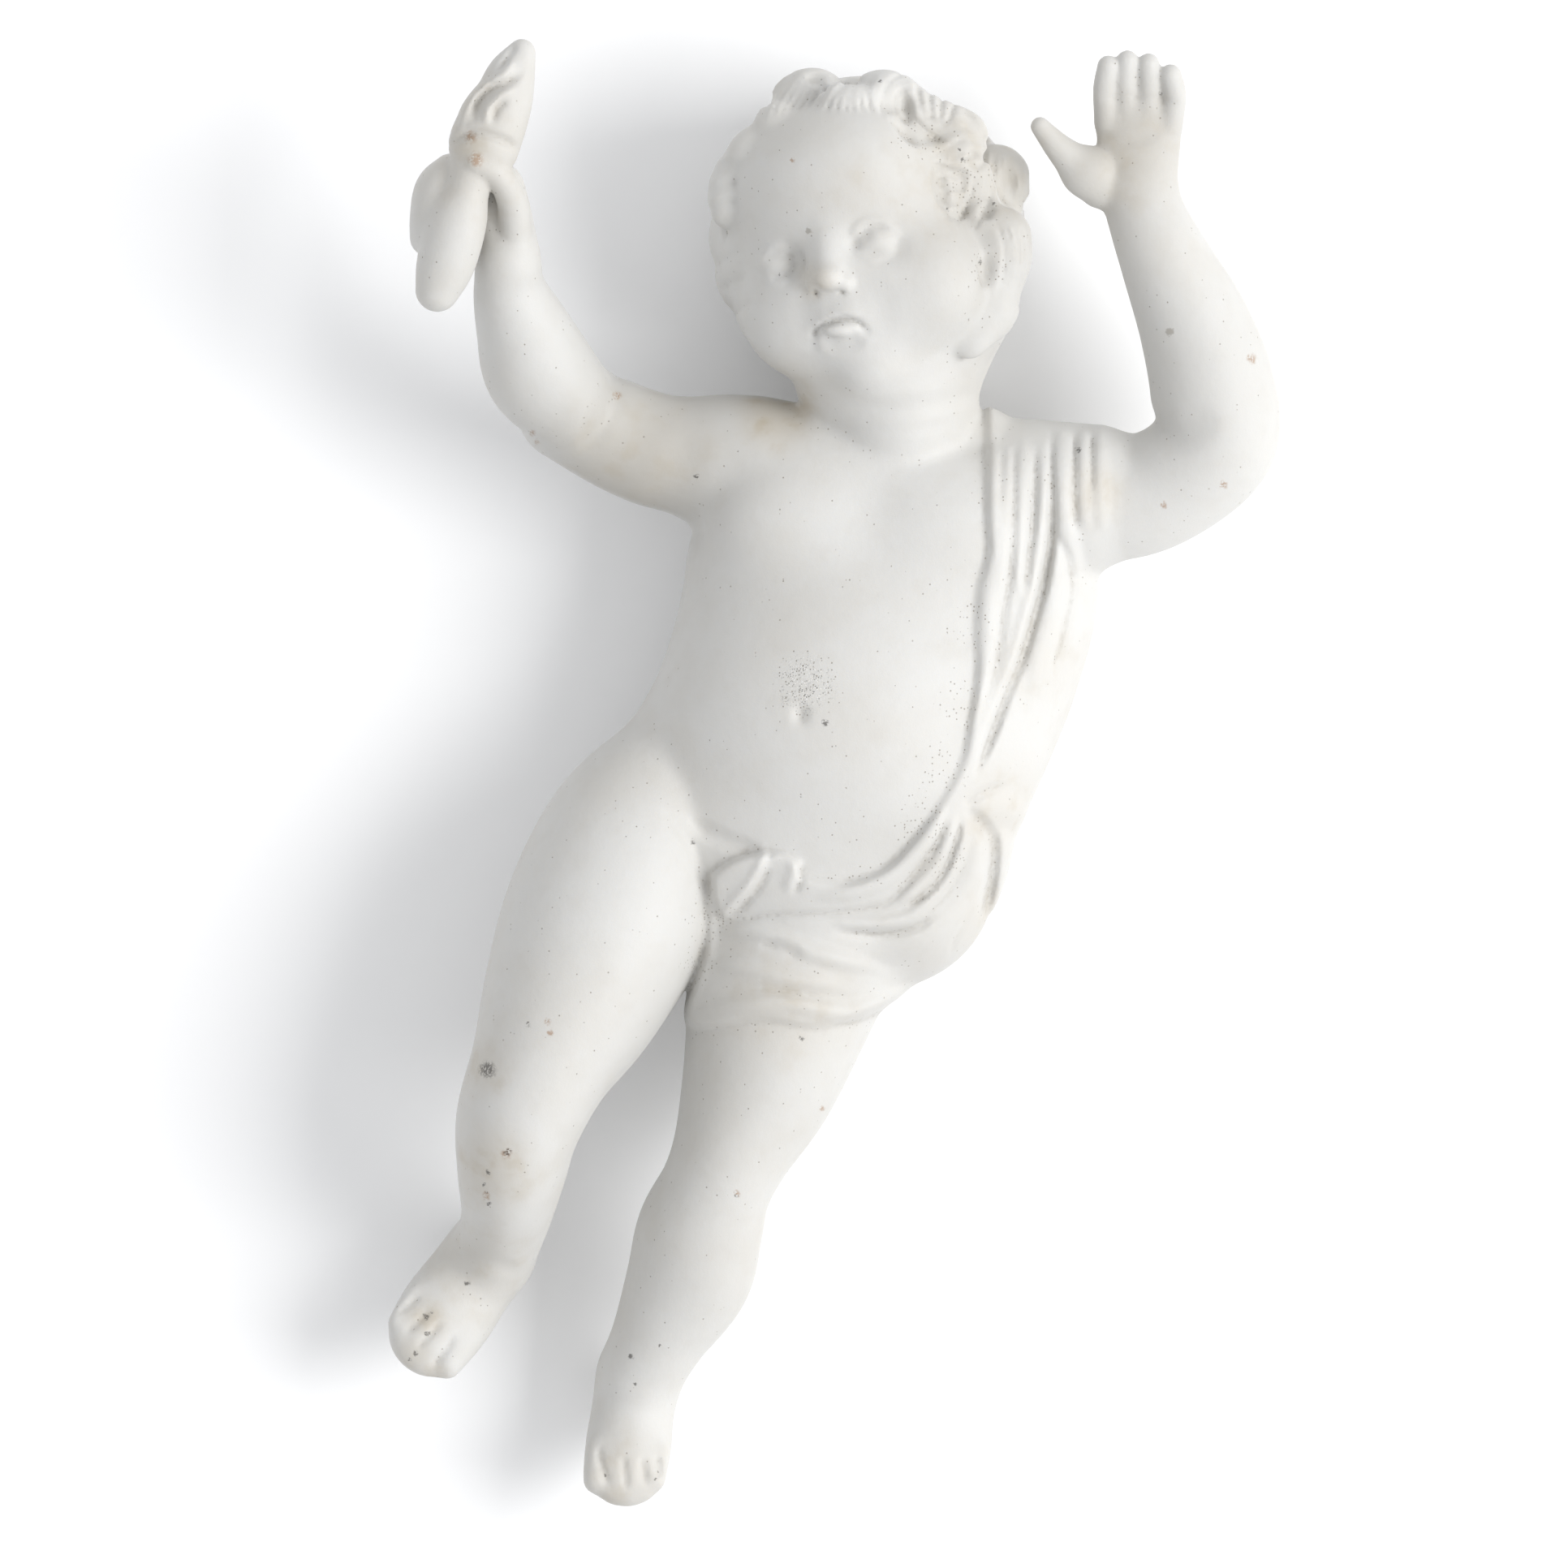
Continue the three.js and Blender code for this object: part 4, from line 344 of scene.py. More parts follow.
VALLEYS = [
    [[[10.75, 12.4], [10.65, 8.8]], 0.3, 0.08],
    [
        [[11.6, 12.8], [11.55, 7.7], [11.4, 4.8], [10.95, 1.8], [10.5, -1.4], [9.7, -4.6], [9.0, -6.8]],
        0.5,
        0.24,
    ],
    [[[13.1, 12.8], [12.9, 7.7], [12.5, 4.8], [12.3, 2.4]], 0.5, 0.24],
    [
        [
            [14.15, 14.0], [14.15, 7.3], [13.7, 3.9], [13.0, 1.3], [12.0, -1.9], [10.9, -4.6],
            [9.9, -7.4], [8.9, -9.9],
        ],
        0.6,
        0.6,
    ],
    [[[15.75, 13.8], [15.65, 9.7], [15.85, 6.7]], 0.4, 0.24],
    [[[14.5, 6.8], [15.3, 4.8], [15.5, 2.7], [14.8, -0.6], [14.1, -2.5]], 0.55, 0.24],
    [[[16.9, 13.6], [16.9, 9.6]], 0.35, 0.17],
    [[[8.2, -11.9], [9.3, -11.0], [11.0, -10.3]], 0.55, 0.2],
    [
        [
            [6.9, -12.5], [6.5, -14.0], [5.7, -15.2], [4.6, -16.7], [3.4, -18.0], [2.0, -18.75],
            [-0.9, -19.15], [-5.4, -19.3], [-8.2, -19.8],
        ],
        0.45,
        0.24,
    ],
    [[[8.0, -12.8], [7.7, -14.0], [7.1, -15.8], [6.3, -17.2], [5.2, -18.1], [4.3, -18.6]], 0.4, 0.24],
    [[[-0.8, -20.4], [2.0, -20.6], [4.5, -20.3], [6.2, -19.4]], 0.5, 0.2],
    [[[8.3, -12.0], [9.4, -13.1], [10.05, -14.3], [10.0, -16.4], [9.8, -18.0], [9.4, -19.7]], 0.8, 0.4],
    [[[-5.6, -21.2], [-4.2, -21.4], [-2.9, -22.1]], 0.7, 0.2],
    [[[8.8, -18.7], [7.9, -20.4], [7.1, -22.1]], 0.35, 0.1],
    [[[-9.0, -24.2], [-6, -24.3], [-2, -24.7], [1.0, -24.9]], 0.5, 0.12],
    [[[-5.0, -15.9], [-6.0, -17.6], [-7.6, -19.4]], 0.4, 0.2],
    [[[-2.9, -15.9], [-3.0, -16.9], [-3.5, -17.8]], 0.4, 0.2],
]
# flicks of the flame: the line in the view, half width, height, below zero for a groove
FLICKS = [
    [[[-26.2, 34.2], [-25.6, 35.8], [-24.6, 37.0], [-23.2, 37.9], [-22.4, 38.9]], 0.5, 0.35],
    [[[-25.2, 34.6], [-24.9, 36.0], [-24.0, 37.0], [-22.8, 37.4], [-21.8, 38.2]], 0.45, -0.3],
    [[[-24.4, 34.5], [-24.2, 35.6], [-23.4, 36.4], [-22.4, 36.9]], 0.4, 0.3],
    [[[-23.9, 34.6], [-23.6, 35.5], [-22.9, 36.1]], 0.35, -0.25],
    [[[-26.9, 33.0], [-25.4, 33.9], [-23.4, 33.5], [-22.2, 32.8]], 0.5, -0.3],
    [[[-23.5, 38.2], [-22.8, 39.2], [-22.3, 39.9]], 0.35, -0.2],
]

# feet: how far ahead of the heel, height, half width, half depth; toes: aside, ahead, radius
FOOT = [
    [-0.4, 3.9, 2.6, 3.4], [1.6, 5.2, 2.75, 3.4], [3.8, 6.9, 2.95, 2.7], [5.3, 8.1, 2.85, 2.0],
    [5.9, 8.5, 2.6, 1.6],
]
TOE_GROOVES = [
    [[-16.8, -55.7], [-16.6, -57.0], [-16.1, -58.3]],
    [[-15.1, -56.4], [-15.0, -57.4], [-14.9, -58.6]],
    [[-13.8, -56.5], [-13.7, -57.3], [-13.6, -58.2]],
    [[-12.8, -56.4], [-12.7, -57.0], [-12.6, -57.7]],
    [[-28.3, -46.3], [-29.1, -47.1], [-30.0, -47.9]],
    [[-27.5, -47.1], [-28.4, -48.1], [-29.3, -49.0]],
    [[-26.6, -48.1], [-27.4, -49.2], [-28.2, -50.2]],
    [[-29.1, -45.4], [-29.8, -46.0], [-30.5, -46.6]],
]
TOES = [[-1.9, 6.2, 0.98], [-0.6, 6.8, 0.8], [0.45, 6.75, 0.74], [1.4, 6.4, 0.7], [2.2, 5.8, 0.66]]
# how each toe runs: how far ahead of its middle, height, and width as a share of its radius
TOE_BENDS = [[-1.6, 8.5, 1.0], [-0.2, 9.2, 1.0], [0.5, 9.5, 0.95]]
LEFT_HEEL = [-14.3, -51.6]
LEFT_FOOT_AHEAD = [-0.115, -0.993]
LEFT_FOOT_SIZE = 1.0
RIGHT_FOOT_SIZE = 1.12
RIGHT_HEEL = [-24.6, -42.8]
RIGHT_FOOT_AHEAD = [-0.57, -0.82]

# eyes: x, y, half width, half height
EYES = [[-4.5, 25.05, 1.35, 1.15], [2.1, 26.6, 1.9, 1.3]]
# the rest of the face, and the navel: x, y, height over the skin, then half sizes
EYE_CORNERS = [
    [-3.1, 25.3, 0.7, 0.42, 0.65, 0.5], [0.6, 26.6, 0.45, 0.45, 0.7, 0.5],
    [1.3, 27.0, 0.42, 0.55, 0.5, 0.5],
]
# lids: a line over and under each eye, half width, height
LIDS = [
    [[[-6.0, 24.9], [-5.4, 25.9], [-4.6, 26.2], [-3.6, 25.8]], 0.5, 0.18],
    [[[-5.6, 24.2], [-4.7, 23.85], [-3.9, 24.1]], 0.5, 0.16],
    [[[0.3, 26.6], [1.2, 27.75], [2.6, 27.9], [4.0, 26.9]], 0.5, 0.2],
    [[[0.7, 25.9], [2.1, 25.5], [3.6, 26.1]], 0.5, 0.18],
]
NOSE_RIDGE = [
    [-1.1, 27.6, -1.2, 0.95, 0.9], [-1.15, 26.4, -0.65, 0.95, 0.95], [-1.1, 25.3, -0.3, 0.95, 0.95],
    [-1.1, 24.6, -0.05, 1.05, 1.0],
]
NOSE_FORMS = [
    [-1.1, 24.15, 0.35, 1.1, 0.9, 1.05], [-1.95, 23.65, -0.2, 0.75, 0.7, 0.9],
    [0.0, 23.75, -0.2, 0.7, 0.65, 0.8],
]
NOSTRILS = [[-2.0, 23.0, 0.1, 0.28, 0.28, 0.5], [-0.2, 23.1, 0.1, 0.26, 0.2, 0.4]]
UPPER_LIP = [
    [-1.6, 21.0, -0.45, 0.35, 0.35], [-1.0, 21.5, -0.42, 0.45, 0.4], [-0.1, 21.85, -0.36, 0.55, 0.42],
    [0.6, 21.7, -0.38, 0.45, 0.38], [1.1, 21.3, -0.45, 0.3, 0.35],
]
LOWER_LIP = [-0.2, 20.55, -0.35, 1.25, 0.6, 0.7]
# where the lips meet, in the view
MOUTH_LINE = [[-2.0, 20.2], [-1.6, 20.85], [-0.8, 21.15], [0.05, 21.3], [0.9, 21.1], [1.3, 20.7]]
# soft dents of the face, neck and body: the line, half width, depth
DENTS = [
    [[[-7.0, 31.9], [-8.0, 31.8], [-8.9, 31.2]], 0.6, 0.14],
    [[[-7.2, 30.7], [-8.2, 30.5], [-9.1, 30.0]], 0.6, 0.14],
    [[[-7.3, 29.4], [-8.3, 29.2], [-9.2, 28.8]], 0.6, 0.14],
    [[[-7.0, 25.9], [-7.9, 25.6], [-8.7, 25.1]], 0.6, 0.12],
    [[[-6.7, 24.2], [-7.6, 23.9], [-8.3, 23.4]], 0.6, 0.12],
    [[[-6.0, 22.6], [-6.8, 22.2], [-7.4, 21.8]], 0.6, 0.12],
    [[[-2.4, 23.8], [-2.8, 22.4], [-2.5, 20.9], [-2.2, 19.3]], 1.3, 0.12],
    [[[1.2, 23.9], [2.2, 22.3], [2.3, 20.6]], 1.8, 0.15],
    [[[-1.4, 19.9], [-0.1, 19.6], [1.2, 19.9]], 0.9, 0.22],
    [[[-2.0, 20.7], [-2.1, 19.9], [-1.9, 19.3]], 0.6, 0.08],
    [[[1.1, 20.9], [1.6, 20.3]], 0.5, 0.16],
    [[[-2.0, 20.6], [-2.05, 20.2]], 0.35, 0.2],
    [[[-3.5, 15.9], [0.5, 15.2], [5.0, 15.3], [9.3, 16.4]], 1.1, 0.18],
    [[[-2.0, 14.5], [3.0, 13.9], [8.0, 14.4]], 0.9, 0.1],
    [[[2.2, 9.0], [2.3, 6.5], [1.8, 3.5]], 3.4, 0.08],
    [[[-10.6, -12.9], [-8.0, -14.2], [-5.6, -15.1]], 0.9, 0.25],
    [[[-12.4, -12.0], [-10.3, -14.7], [-9.3, -18.0]], 0.7, 0.15],
    [[[-15.4, 17.8], [-16.0, 16.2], [-16.7, 14.6], [-17.8, 12.6]], 1.3, 0.22],
    [[[20.6, 14.4], [22.6, 13.7], [24.8, 14.3]], 2.0, 0.25],
    [[[-26.5, -42.2], [-24.5, -42.9], [-22.4, -43.6]], 1.0, 0.15],
    [[[17.4, 33.9], [19.0, 33.5], [21.5, 33.9]], 0.7, 0.15],
    [[[17.2, 36.3], [19.5, 36.5], [21.5, 36.3], [23.0, 35.9]], 0.5, 0.1],
    [[[-12.8, 8.8], [-11.4, 10.6], [-10.6, 13.0]], 2.0, 0.12],
]
NAVEL = [-3.0, -5.6, 0.3, 0.45, 0.6, 0.6]

# what the body is laid up from: stations, blend, and how short the ends are
TRUNK_PARTS = [[TRUNK, 2.0, TRUNK_END], [SHOULDERS, 2.2, 1.0]]
LIMBS = [
    [RIGHT_LEG, 1.0],
    [LEFT_LEG, 1.6],
    [LEFT_UPPER_ARM, 1.5],
    [LEFT_PALM, 0.8],
    [RIGHT_UPPER_ARM, 2.0],
    [RIGHT_FOREARM, 0.9],
    [NECK, 1.2],
]
HAND_PARTS = [
    [LEFT_THUMB, 0.8],
    [RIGHT_PALM, 0.8],
    [RIGHT_FINGERS, 0.6],
    [TORCH_HANDLE, 0.6],
    [TORCH_FLAME, 0.5],
    [RIGHT_THUMB, 0.4],
]
LEFT_THUMB_BALL = [[16.8, 31.4, 16.0], [2.0, 1.8, 1.5], 0.4]
# height, half width and half depth of a finger at its root, knuckle and tip
FINGER_SIZES = [[15.9, 0.88, 0.9], [16.5, 0.84, 0.85], [16.9, 0.76, 0.75]]
FINGER_BLEND = 0.4
FOOT_BLEND = 2.5
TOE_BLEND = 0.6
# rings of locks behind the head: how many, degrees from its lowest point, half width, thickness
BACK_RINGS = [[9, 60, 2.7, 1.7], [6, 33, 2.5, 1.5]]
# how far out a lock behind the head sits, as a share of the way to the skin, its narrow side and its blend
BACK_LOCK = [0.94, 0.75, 0.5]
# how softly tufts, low tufts and pits run into the hair
TUFT_BLEND = 1.2
LOW_TUFT_BLEND = 0.6
PIT_BLEND = 0.6
# how far a tuft sinks into the head and a pit stands over it, as shares of their depth
TUFT_SINK = 0.45
PIT_RISE = 0.3
# the hollow of an eye: how far aside and up its middle is, share of the eye's width and height, depth, blend
EYE_HOLLOW = [0.1, 1.0, 1.3, 1.25, 1.5, 1.3]
# the ball of an eye: how deep its middle is, half depth, blend
EYE_BALL = [1.36, 1.55, 0.3]
EYE_CORNER_BLEND = 0.5
NOSE_BLENDS = [1.4, 0.45, 0.2]
LIP_BLENDS = [0.5, 0.25]
NAVEL_BLEND = 0.9
# grooves between the toes, between the lips and in the hair: half width, and height below zero
TOE_GROOVE = [0.42, -0.2]
MOUTH_GROOVE = [0.36, -0.34]
STRAND = [0.32, -0.2]
# what is drawn on the figure is drawn on all that is higher than this
CLOTH_FLOOR = 4.0
BODY_FLOOR = 6.0
FOOT_FLOOR = 7.0
FACE_FLOOR = 8.0
TORCH_FLOOR = 15.0
# the height over which the cloth thins out, how soft its edges are, and how soft between two places far out
CLOTH_FADE = 2.0
CLOTH_SOFT = 0.4
LEAF_SOFT = 0.25
CLOTH_SOFT_FAR = 1.3
CLOTH_SOFT_FROM = 13.0
CLOTH_SOFT_TO = 17.0


def catmull(stations, steps):
    """A smooth run of stations through the given ones, with some steps to each gap."""
    given = np.array(stations, float)
    if len(given) < 3:
        share = np.linspace(0, 1, steps + 1)[:, None]
        return given[0] * (1 - share) + given[1] * share
    given = np.vstack([2 * given[0] - given[1], given, 2 * given[-1] - given[-2]])
    run = []
    for a, b, c, d in zip(given, given[1:], given[2:], given[3:]):
        for t in np.arange(steps) / steps:
            slope = (c - a) * t
            bend = (2 * a - 5 * b + 4 * c - d) * t * t
            twist = (3 * b - a - 3 * c + d) * t ** 3
            run.append(0.5 * (2 * b + slope + bend + twist))
    run.append(given[-2])
    return np.array(run)


def smooth(share):
    """0 to 1 with soft ends."""
    return share * share * (3 - 2 * share)


def nearest_on(p, q, x, y):
    """How far along the line from p to q each place lies, and its distance from the line, squared."""
    span = q - p
    length = max(float(span @ span), TINY)
    along = np.clip(((x - p[0]) * span[0] + (y - p[1]) * span[1]) / length, 0, 1)
    return along, (x - p[0] - along * span[0]) ** 2 + (y - p[1] - along * span[1]) ** 2


class Clay:
    """A block of distances to the figure's skin, below zero inside it."""

    def __init__(self, low, high, cell):
        self.low = np.array(low, float)
        self.cell = cell
        self.count = np.ceil((np.array(high, float) - self.low) / cell).astype(int) + 1
        self.field = np.full(self.count, FAR_OFF, np.float32)
        self.axes = [(self.low[i] + cell * np.arange(self.count[i])).astype(np.float32) for i in range(3)]

    def window(self, low, high):
        """The part of the block between two corners, and the places of its cells along each axis."""
        first = np.floor((np.array(low) - self.low) / self.cell).astype(int)
        last = np.ceil((np.array(high) - self.low) / self.cell).astype(int) + 1
        first = np.clip(first, 0, self.count - 1)
        last = np.maximum(np.clip(last, 1, self.count), first + 1)
        part = tuple(slice(i, j) for i, j in zip(first, last))
        x, y, z = (self.axes[i][part[i]] for i in range(3))
        return part, x[:, None, None], y[None, :, None], z[None, None, :]

    def join(self, part, distance, blend):
        """Adds a form, run into what is there over a width."""
        here = self.field[part]
        near = np.maximum(blend - np.abs(here - distance), 0) / blend
        self.field[part] = np.minimum(here, distance) - near ** 3 * (blend / 6)

    def cut(self, part, distance, blend):
        """Takes a form away, rounded where it meets the skin."""
        here = self.field[part]
        near = np.maximum(blend - np.abs(here + distance), 0) / blend
        self.field[part] = np.maximum(here, -distance) + near ** 3 * (blend / 6)

    def add(self, stations, blend, end=1.0):
        """A limb through places with a half width and half depth. Its ends bulge by a share of the width."""
        run = catmull(stations, LIMB_STEPS)
        reach = blend + REACH
        radius = run[:, 3:5].max(1)
        beside = np.maximum(np.append(radius[1:], 0), np.append(0, radius[:-1]))
        pad = np.maximum(radius, beside)[:, None] + reach
        part, *_ = self.window((run[:, :3] - pad).min(0), (run[:, :3] + pad).max(0))
        start = np.array([piece.start for piece in part])
        distance = np.full([piece.stop - piece.start for piece in part], FAR_OFF, np.float32)
        for p, q in zip(run, run[1:]):
            pad = max(p[3], p[4], q[3], q[4]) + reach
            inner, x, y, z = self.window(np.minimum(p[:3], q[:3]) - pad, np.maximum(p[:3], q[:3]) + pad)
            inside = tuple(slice(piece.start - o, piece.stop - o) for piece, o in zip(inner, start))
            link = self.link_distance(p, q, x, y, z, end)
            np.minimum(distance[inside], link, out=distance[inside])
        self.join(part, distance, blend)

    def link_distance(self, p, q, x, y, z, end):
        """Distance to one link of a limb."""
        span = q[:3] - p[:3]
        length = np.linalg.norm(span)
        ahead = span / length
        side = np.cross(ahead, UP)
        side /= np.linalg.norm(side)
        front = np.cross(side, ahead)
        x, y, z = x - np.float32(p[0]), y - np.float32(p[1]), z - np.float32(p[2])
        along = x * ahead[0] + y * ahead[1] + z * ahead[2]
        share = np.clip(along / length, 0, 1).astype(np.float32)
        width = p[3] + share * (q[3] - p[3])
        depth = p[4] + share * (q[4] - p[4])
        across = ((x * side[0] + y * side[1] + z * side[2]) / width) ** 2
        over = ((x * front[0] + y * front[1] + z * front[2]) / depth) ** 2
        beyond = ((along - share * length) / (end * width)) ** 2
        size = np.sqrt(across + over + beyond)
        slope = np.sqrt(across / width ** 2 + over / depth ** 2 + beyond / (end * width) ** 2) + LEAST_SLOPE
        return size * (size - 1) / slope

    def ball(self, centre, radii, blend, axes):
        """Distance to a rounded form, and the part of the block that it fills."""
        centre, radii = np.array(centre, float), np.array(radii, float)
        pad = radii.max() + blend + REACH
        part, x, y, z = self.window(centre - pad, centre + pad)
        way = [x - np.float32(centre[0]), y - np.float32(centre[1]), z - np.float32(centre[2])]
        if axes is not None:
            way = [sum(way[j] * axes[i][j] for j in range(3)) for i in range(3)]
        size = np.sqrt(sum((way[i] / radii[i]) ** 2 for i in range(3)))
        slope = np.sqrt(sum((way[i] / radii[i] ** 2) ** 2 for i in range(3))) + LEAST_SLOPE
        return part, size * (size - 1) / slope

    def blob(self, centre, radii, blend, axes=None):
        self.join(*self.ball(centre, radii, blend, axes), blend)

    def scoop(self, centre, radii, blend, axes=None):
        self.cut(*self.ball(centre, radii, blend, axes), blend)

    def top(self, x, y):
        """Height of the skin that the viewer sees at x and y, 0 where there is none."""
        u = (x - self.low[0]) / self.cell
        v = (y - self.low[1]) / self.cell
        i, j = int(u), int(v)
        u, v = u - i, v - j
        f = self.field
        near = f[i, j] * (1 - u) + f[i + 1, j] * u
        far = f[i, j + 1] * (1 - u) + f[i + 1, j + 1] * u
        line = near * (1 - v) + far * v
        inside = np.nonzero(line < 0)[0]
        if not len(inside):
            return 0.0
        k = inside[-1]
        return float(self.low[2] + self.cell * (k + line[k] / (line[k] - line[k + 1])))

    def lift(self, part, z, height, floor, fade):
        """Lifts all skin above a floor by heights given in the view."""
        mask = smooth(np.clip((z - floor + fade) / fade, 0, 1))
        self.field[part] -= (height[:, :, None] * mask).astype(np.float32)

    def sheet(self, edge, thickness, floor, fade, soft, far_soft, near_x, far_x):
        """A layer over all that is seen inside a closed line, above a floor. Its edge is soft wide up to
        near_x, and goes over to far_soft by far_x."""
        ring = catmull(edge + edge[:1], SHEET_STEPS)
        low, high = ring.min(0) - 1, ring.max(0) + 1
        part, x, y, z = self.window([*low, floor - fade], [*high, BLOCK_HIGH[2]])
        x, y = x[:, :, 0], y[:, :, 0]
        near = np.full(np.broadcast_shapes(x.shape, y.shape), np.inf)
        inside = np.zeros(near.shape, bool)
        for p, q in zip(ring, ring[1:]):
            np.minimum(near, nearest_on(p, q, x, y)[1], out=near)
            if p[1] != q[1]:
                border = (q[0] - p[0]) * (y - p[1]) / (q[1] - p[1]) + p[0]
                inside ^= ((p[1] > y) != (q[1] > y)) & (x < border)
        depth = np.where(inside, 1, -1) * np.sqrt(near)
        width = soft + (far_soft - soft) * np.clip((x - near_x) / (far_x - near_x), 0, 1)
        height = thickness * smooth(np.clip(depth / (2 * width) + 0.5, 0, 1))
        self.lift(part, z, height, floor, fade)

    def stroke(self, points, width, height, floor):
        """A ridge along a line in the view, on all skin above a floor. A height below zero makes a groove."""
        run = catmull(points, STROKE_STEPS)
        low, high = run.min(0) - width, run.max(0) + width
        part, x, y, z = self.window([*low, floor - STROKE_FADE], [*high, BLOCK_HIGH[2]])
        x, y = x[:, :, 0], y[:, :, 0]
        most = np.zeros(np.broadcast_shapes(x.shape, y.shape), np.float32)
        for i, (p, q) in enumerate(zip(run, run[1:])):
            along, gap = nearest_on(p, q, x, y)
            way = (i + along) / (len(run) - 1)
            end = np.clip(np.minimum(way, 1 - way) / STROKE_TAPER, 0, 1)
            end = end * (2 - end)
            reach = width * (STROKE_TIP + (1 - STROKE_TIP) * end)
            np.maximum(most, end * np.maximum(1 - gap / reach ** 2, 0) ** 2, out=most)
        self.lift(part, z, height * most, floor, STROKE_FADE)

    def soften(self, times):
        """Rounds off every hard join a little."""
        f = self.field
        for _ in range(times):
            for axis in range(3):
                last = f.shape[axis]
                before = np.concatenate([f.take([0], axis), f.take(range(last - 1), axis)], axis)
                after = np.concatenate([f.take(range(1, last), axis), f.take([-1], axis)], axis)
                f = 0.5 * f + 0.25 * (before + after)
        self.field = f.astype(np.float32)

    def skin(self):
        """The skin as places, one in each cell that it crosses, and the four-sided faces between them."""
        f = self.field
        inside = f < 0
        cells, index = self.crossed_cells(inside)
        place = np.zeros((len(cells), 3))
        hits = np.zeros(len(cells))
        for corner in CELL_CORNERS:
            for axis in range(3):
                if corner[axis]:
                    continue
                way = np.eye(3, dtype=int)[axis]
                here = f[tuple((cells + corner).T)]
                there = f[tuple((cells + corner + way).T)]
                cross = (here < 0) != (there < 0)
                share = np.where(cross, here / np.where(cross, here - there, 1), 0)
                place += (np.array(corner) + share[:, None] * way) * cross[:, None]
                hits += cross
        places = self.low + self.cell * (cells + place / hits[:, None])
        return places, np.concatenate([self.faces_across(inside, index, axis) for axis in range(3)])

    def crossed_cells(self, inside):
        """The cells that the skin runs through, and a block with the number of each."""
        nx, ny, nz = inside.shape
        total = np.zeros((nx - 1, ny - 1, nz - 1), np.int8)
        for i, j, k in CELL_CORNERS:
            total += inside[i:nx - 1 + i, j:ny - 1 + j, k:nz - 1 + k]
        cells = np.argwhere((total > 0) & (total < len(CELL_CORNERS)))
        index = np.full(total.shape, -1, np.int32)
        index[tuple(cells.T)] = np.arange(len(cells))
        return cells, index

    def faces_across(self, inside, index, axis):
        """The faces that cross the block's lines along one axis, each facing out."""
        u, v = (axis + 1) % 3, (axis + 2) % 3
        size = inside.shape
        here = inside.take(range(size[axis] - 1), axis)
        after = inside.take(range(1, size[axis]), axis)
        edges = np.argwhere(here != after)
        beside = edges[:, [u, v]]
        edges = edges[(beside > 0).all(1) & (beside < np.array([size[u], size[v]]) - 1).all(1)]
        ring = []
        for du, dv in ((1, 1), (0, 1), (0, 0), (1, 0)):
            cell = edges.copy()
            cell[:, u] -= du
            cell[:, v] -= dv
            ring.append(index[tuple(cell.T)])
        faces = np.stack(ring, 1)
        inward = ~here[tuple(edges.T)]
        faces[inward] = faces[inward][:, ::-1]
        return faces


def local(place):
    """A place on the head in the figure's axes."""
    return [HEAD[i] + sum(place[n] * HEAD_AXES[n][i] for n in range(3)) for i in range(3)]


def turned(degrees):
    """Axes turned in the view by some degrees."""
    turn = np.radians(degrees)
    return [[np.cos(turn), np.sin(turn), 0], [-np.sin(turn), np.cos(turn), 0], [0, 0, 1]]


def seated(clay, stations):
    """Stations given by their height over the skin."""
    return [[s[0], s[1], clay.top(s[0], s[1]) + s[2], *s[3:]] for s in stations]


def carve_foot(clay, heel, ahead, size, toe_side):
    """A foot that points along a direction in the view, its toes lifted."""
    fx, fy = ahead

    def at(forward, aside, z):
        return [heel[0] + size * (fx * forward - fy * aside), heel[1] + size * (fy * forward + fx * aside), z]

    clay.add([[*at(forward, 0, z), size * width, depth] for forward, z, width, depth in FOOT], FOOT_BLEND)
    for aside, forward, radius in TOES:
        side = toe_side * aside
        toe = [[*at(forward + on, side, z), radius * wide, radius] for on, z, wide in TOE_BENDS]
        clay.add(toe, TOE_BLEND)


def carve_body(clay):
    """Trunk, limbs, feet and skull."""
    for stations, blend, end in TRUNK_PARTS:
        clay.add(stations, blend, end)
    for centre, radii, blend in TRUNK_FORMS:
        clay.blob(centre, radii, blend)
    for stations, blend in LIMBS:
        clay.add(stations, blend)
    carve_foot(clay, LEFT_HEEL, LEFT_FOOT_AHEAD, LEFT_FOOT_SIZE, 1)
    carve_foot(clay, RIGHT_HEEL, RIGHT_FOOT_AHEAD, RIGHT_FOOT_SIZE, -1)
    for centre, radii, blend in SKULL_FORMS:
        clay.blob(local(centre), radii, blend, HEAD_AXES)
    clay.blob(*DOUBLE_CHIN)


def carve_hands(clay):
    """Fingers, torch, and the grooves between the toes."""
    for finger in LEFT_FINGERS:
        clay.add([[*place, *sizes] for place, sizes in zip(finger, FINGER_SIZES)], FINGER_BLEND)
    clay.blob(*LEFT_THUMB_BALL)
    for stations, blend in HAND_PARTS:
        clay.add(stations, blend)
    for line, width, height in FLICKS:
        clay.stroke(line, width, height, TORCH_FLOOR)
    for line in TOE_GROOVES:
        clay.stroke(line, *TOE_GROOVE, FOOT_FLOOR)


def carve_locks_behind(clay):
    """Rings of soft locks on the back of the head."""
    middle, radii, _ = HAIR_CAP
    out, narrow, blend = BACK_LOCK
    for count, lean, width, thickness in BACK_RINGS:
        down, level = np.cos(np.radians(lean)), np.sin(np.radians(lean))
        for turn in np.arange(count) * 2 * np.pi / count:
            cos, sin = np.cos(turn), np.sin(turn)
            axes = [[-sin, cos, 0], [cos * down, sin * down, level], [cos * level, sin * level, -down]]
            spot = [middle[n] + radii[n] * out * axes[2][n] for n in range(3)]
            clay.blob(spot, [width, narrow * width, thickness], blend, axes)


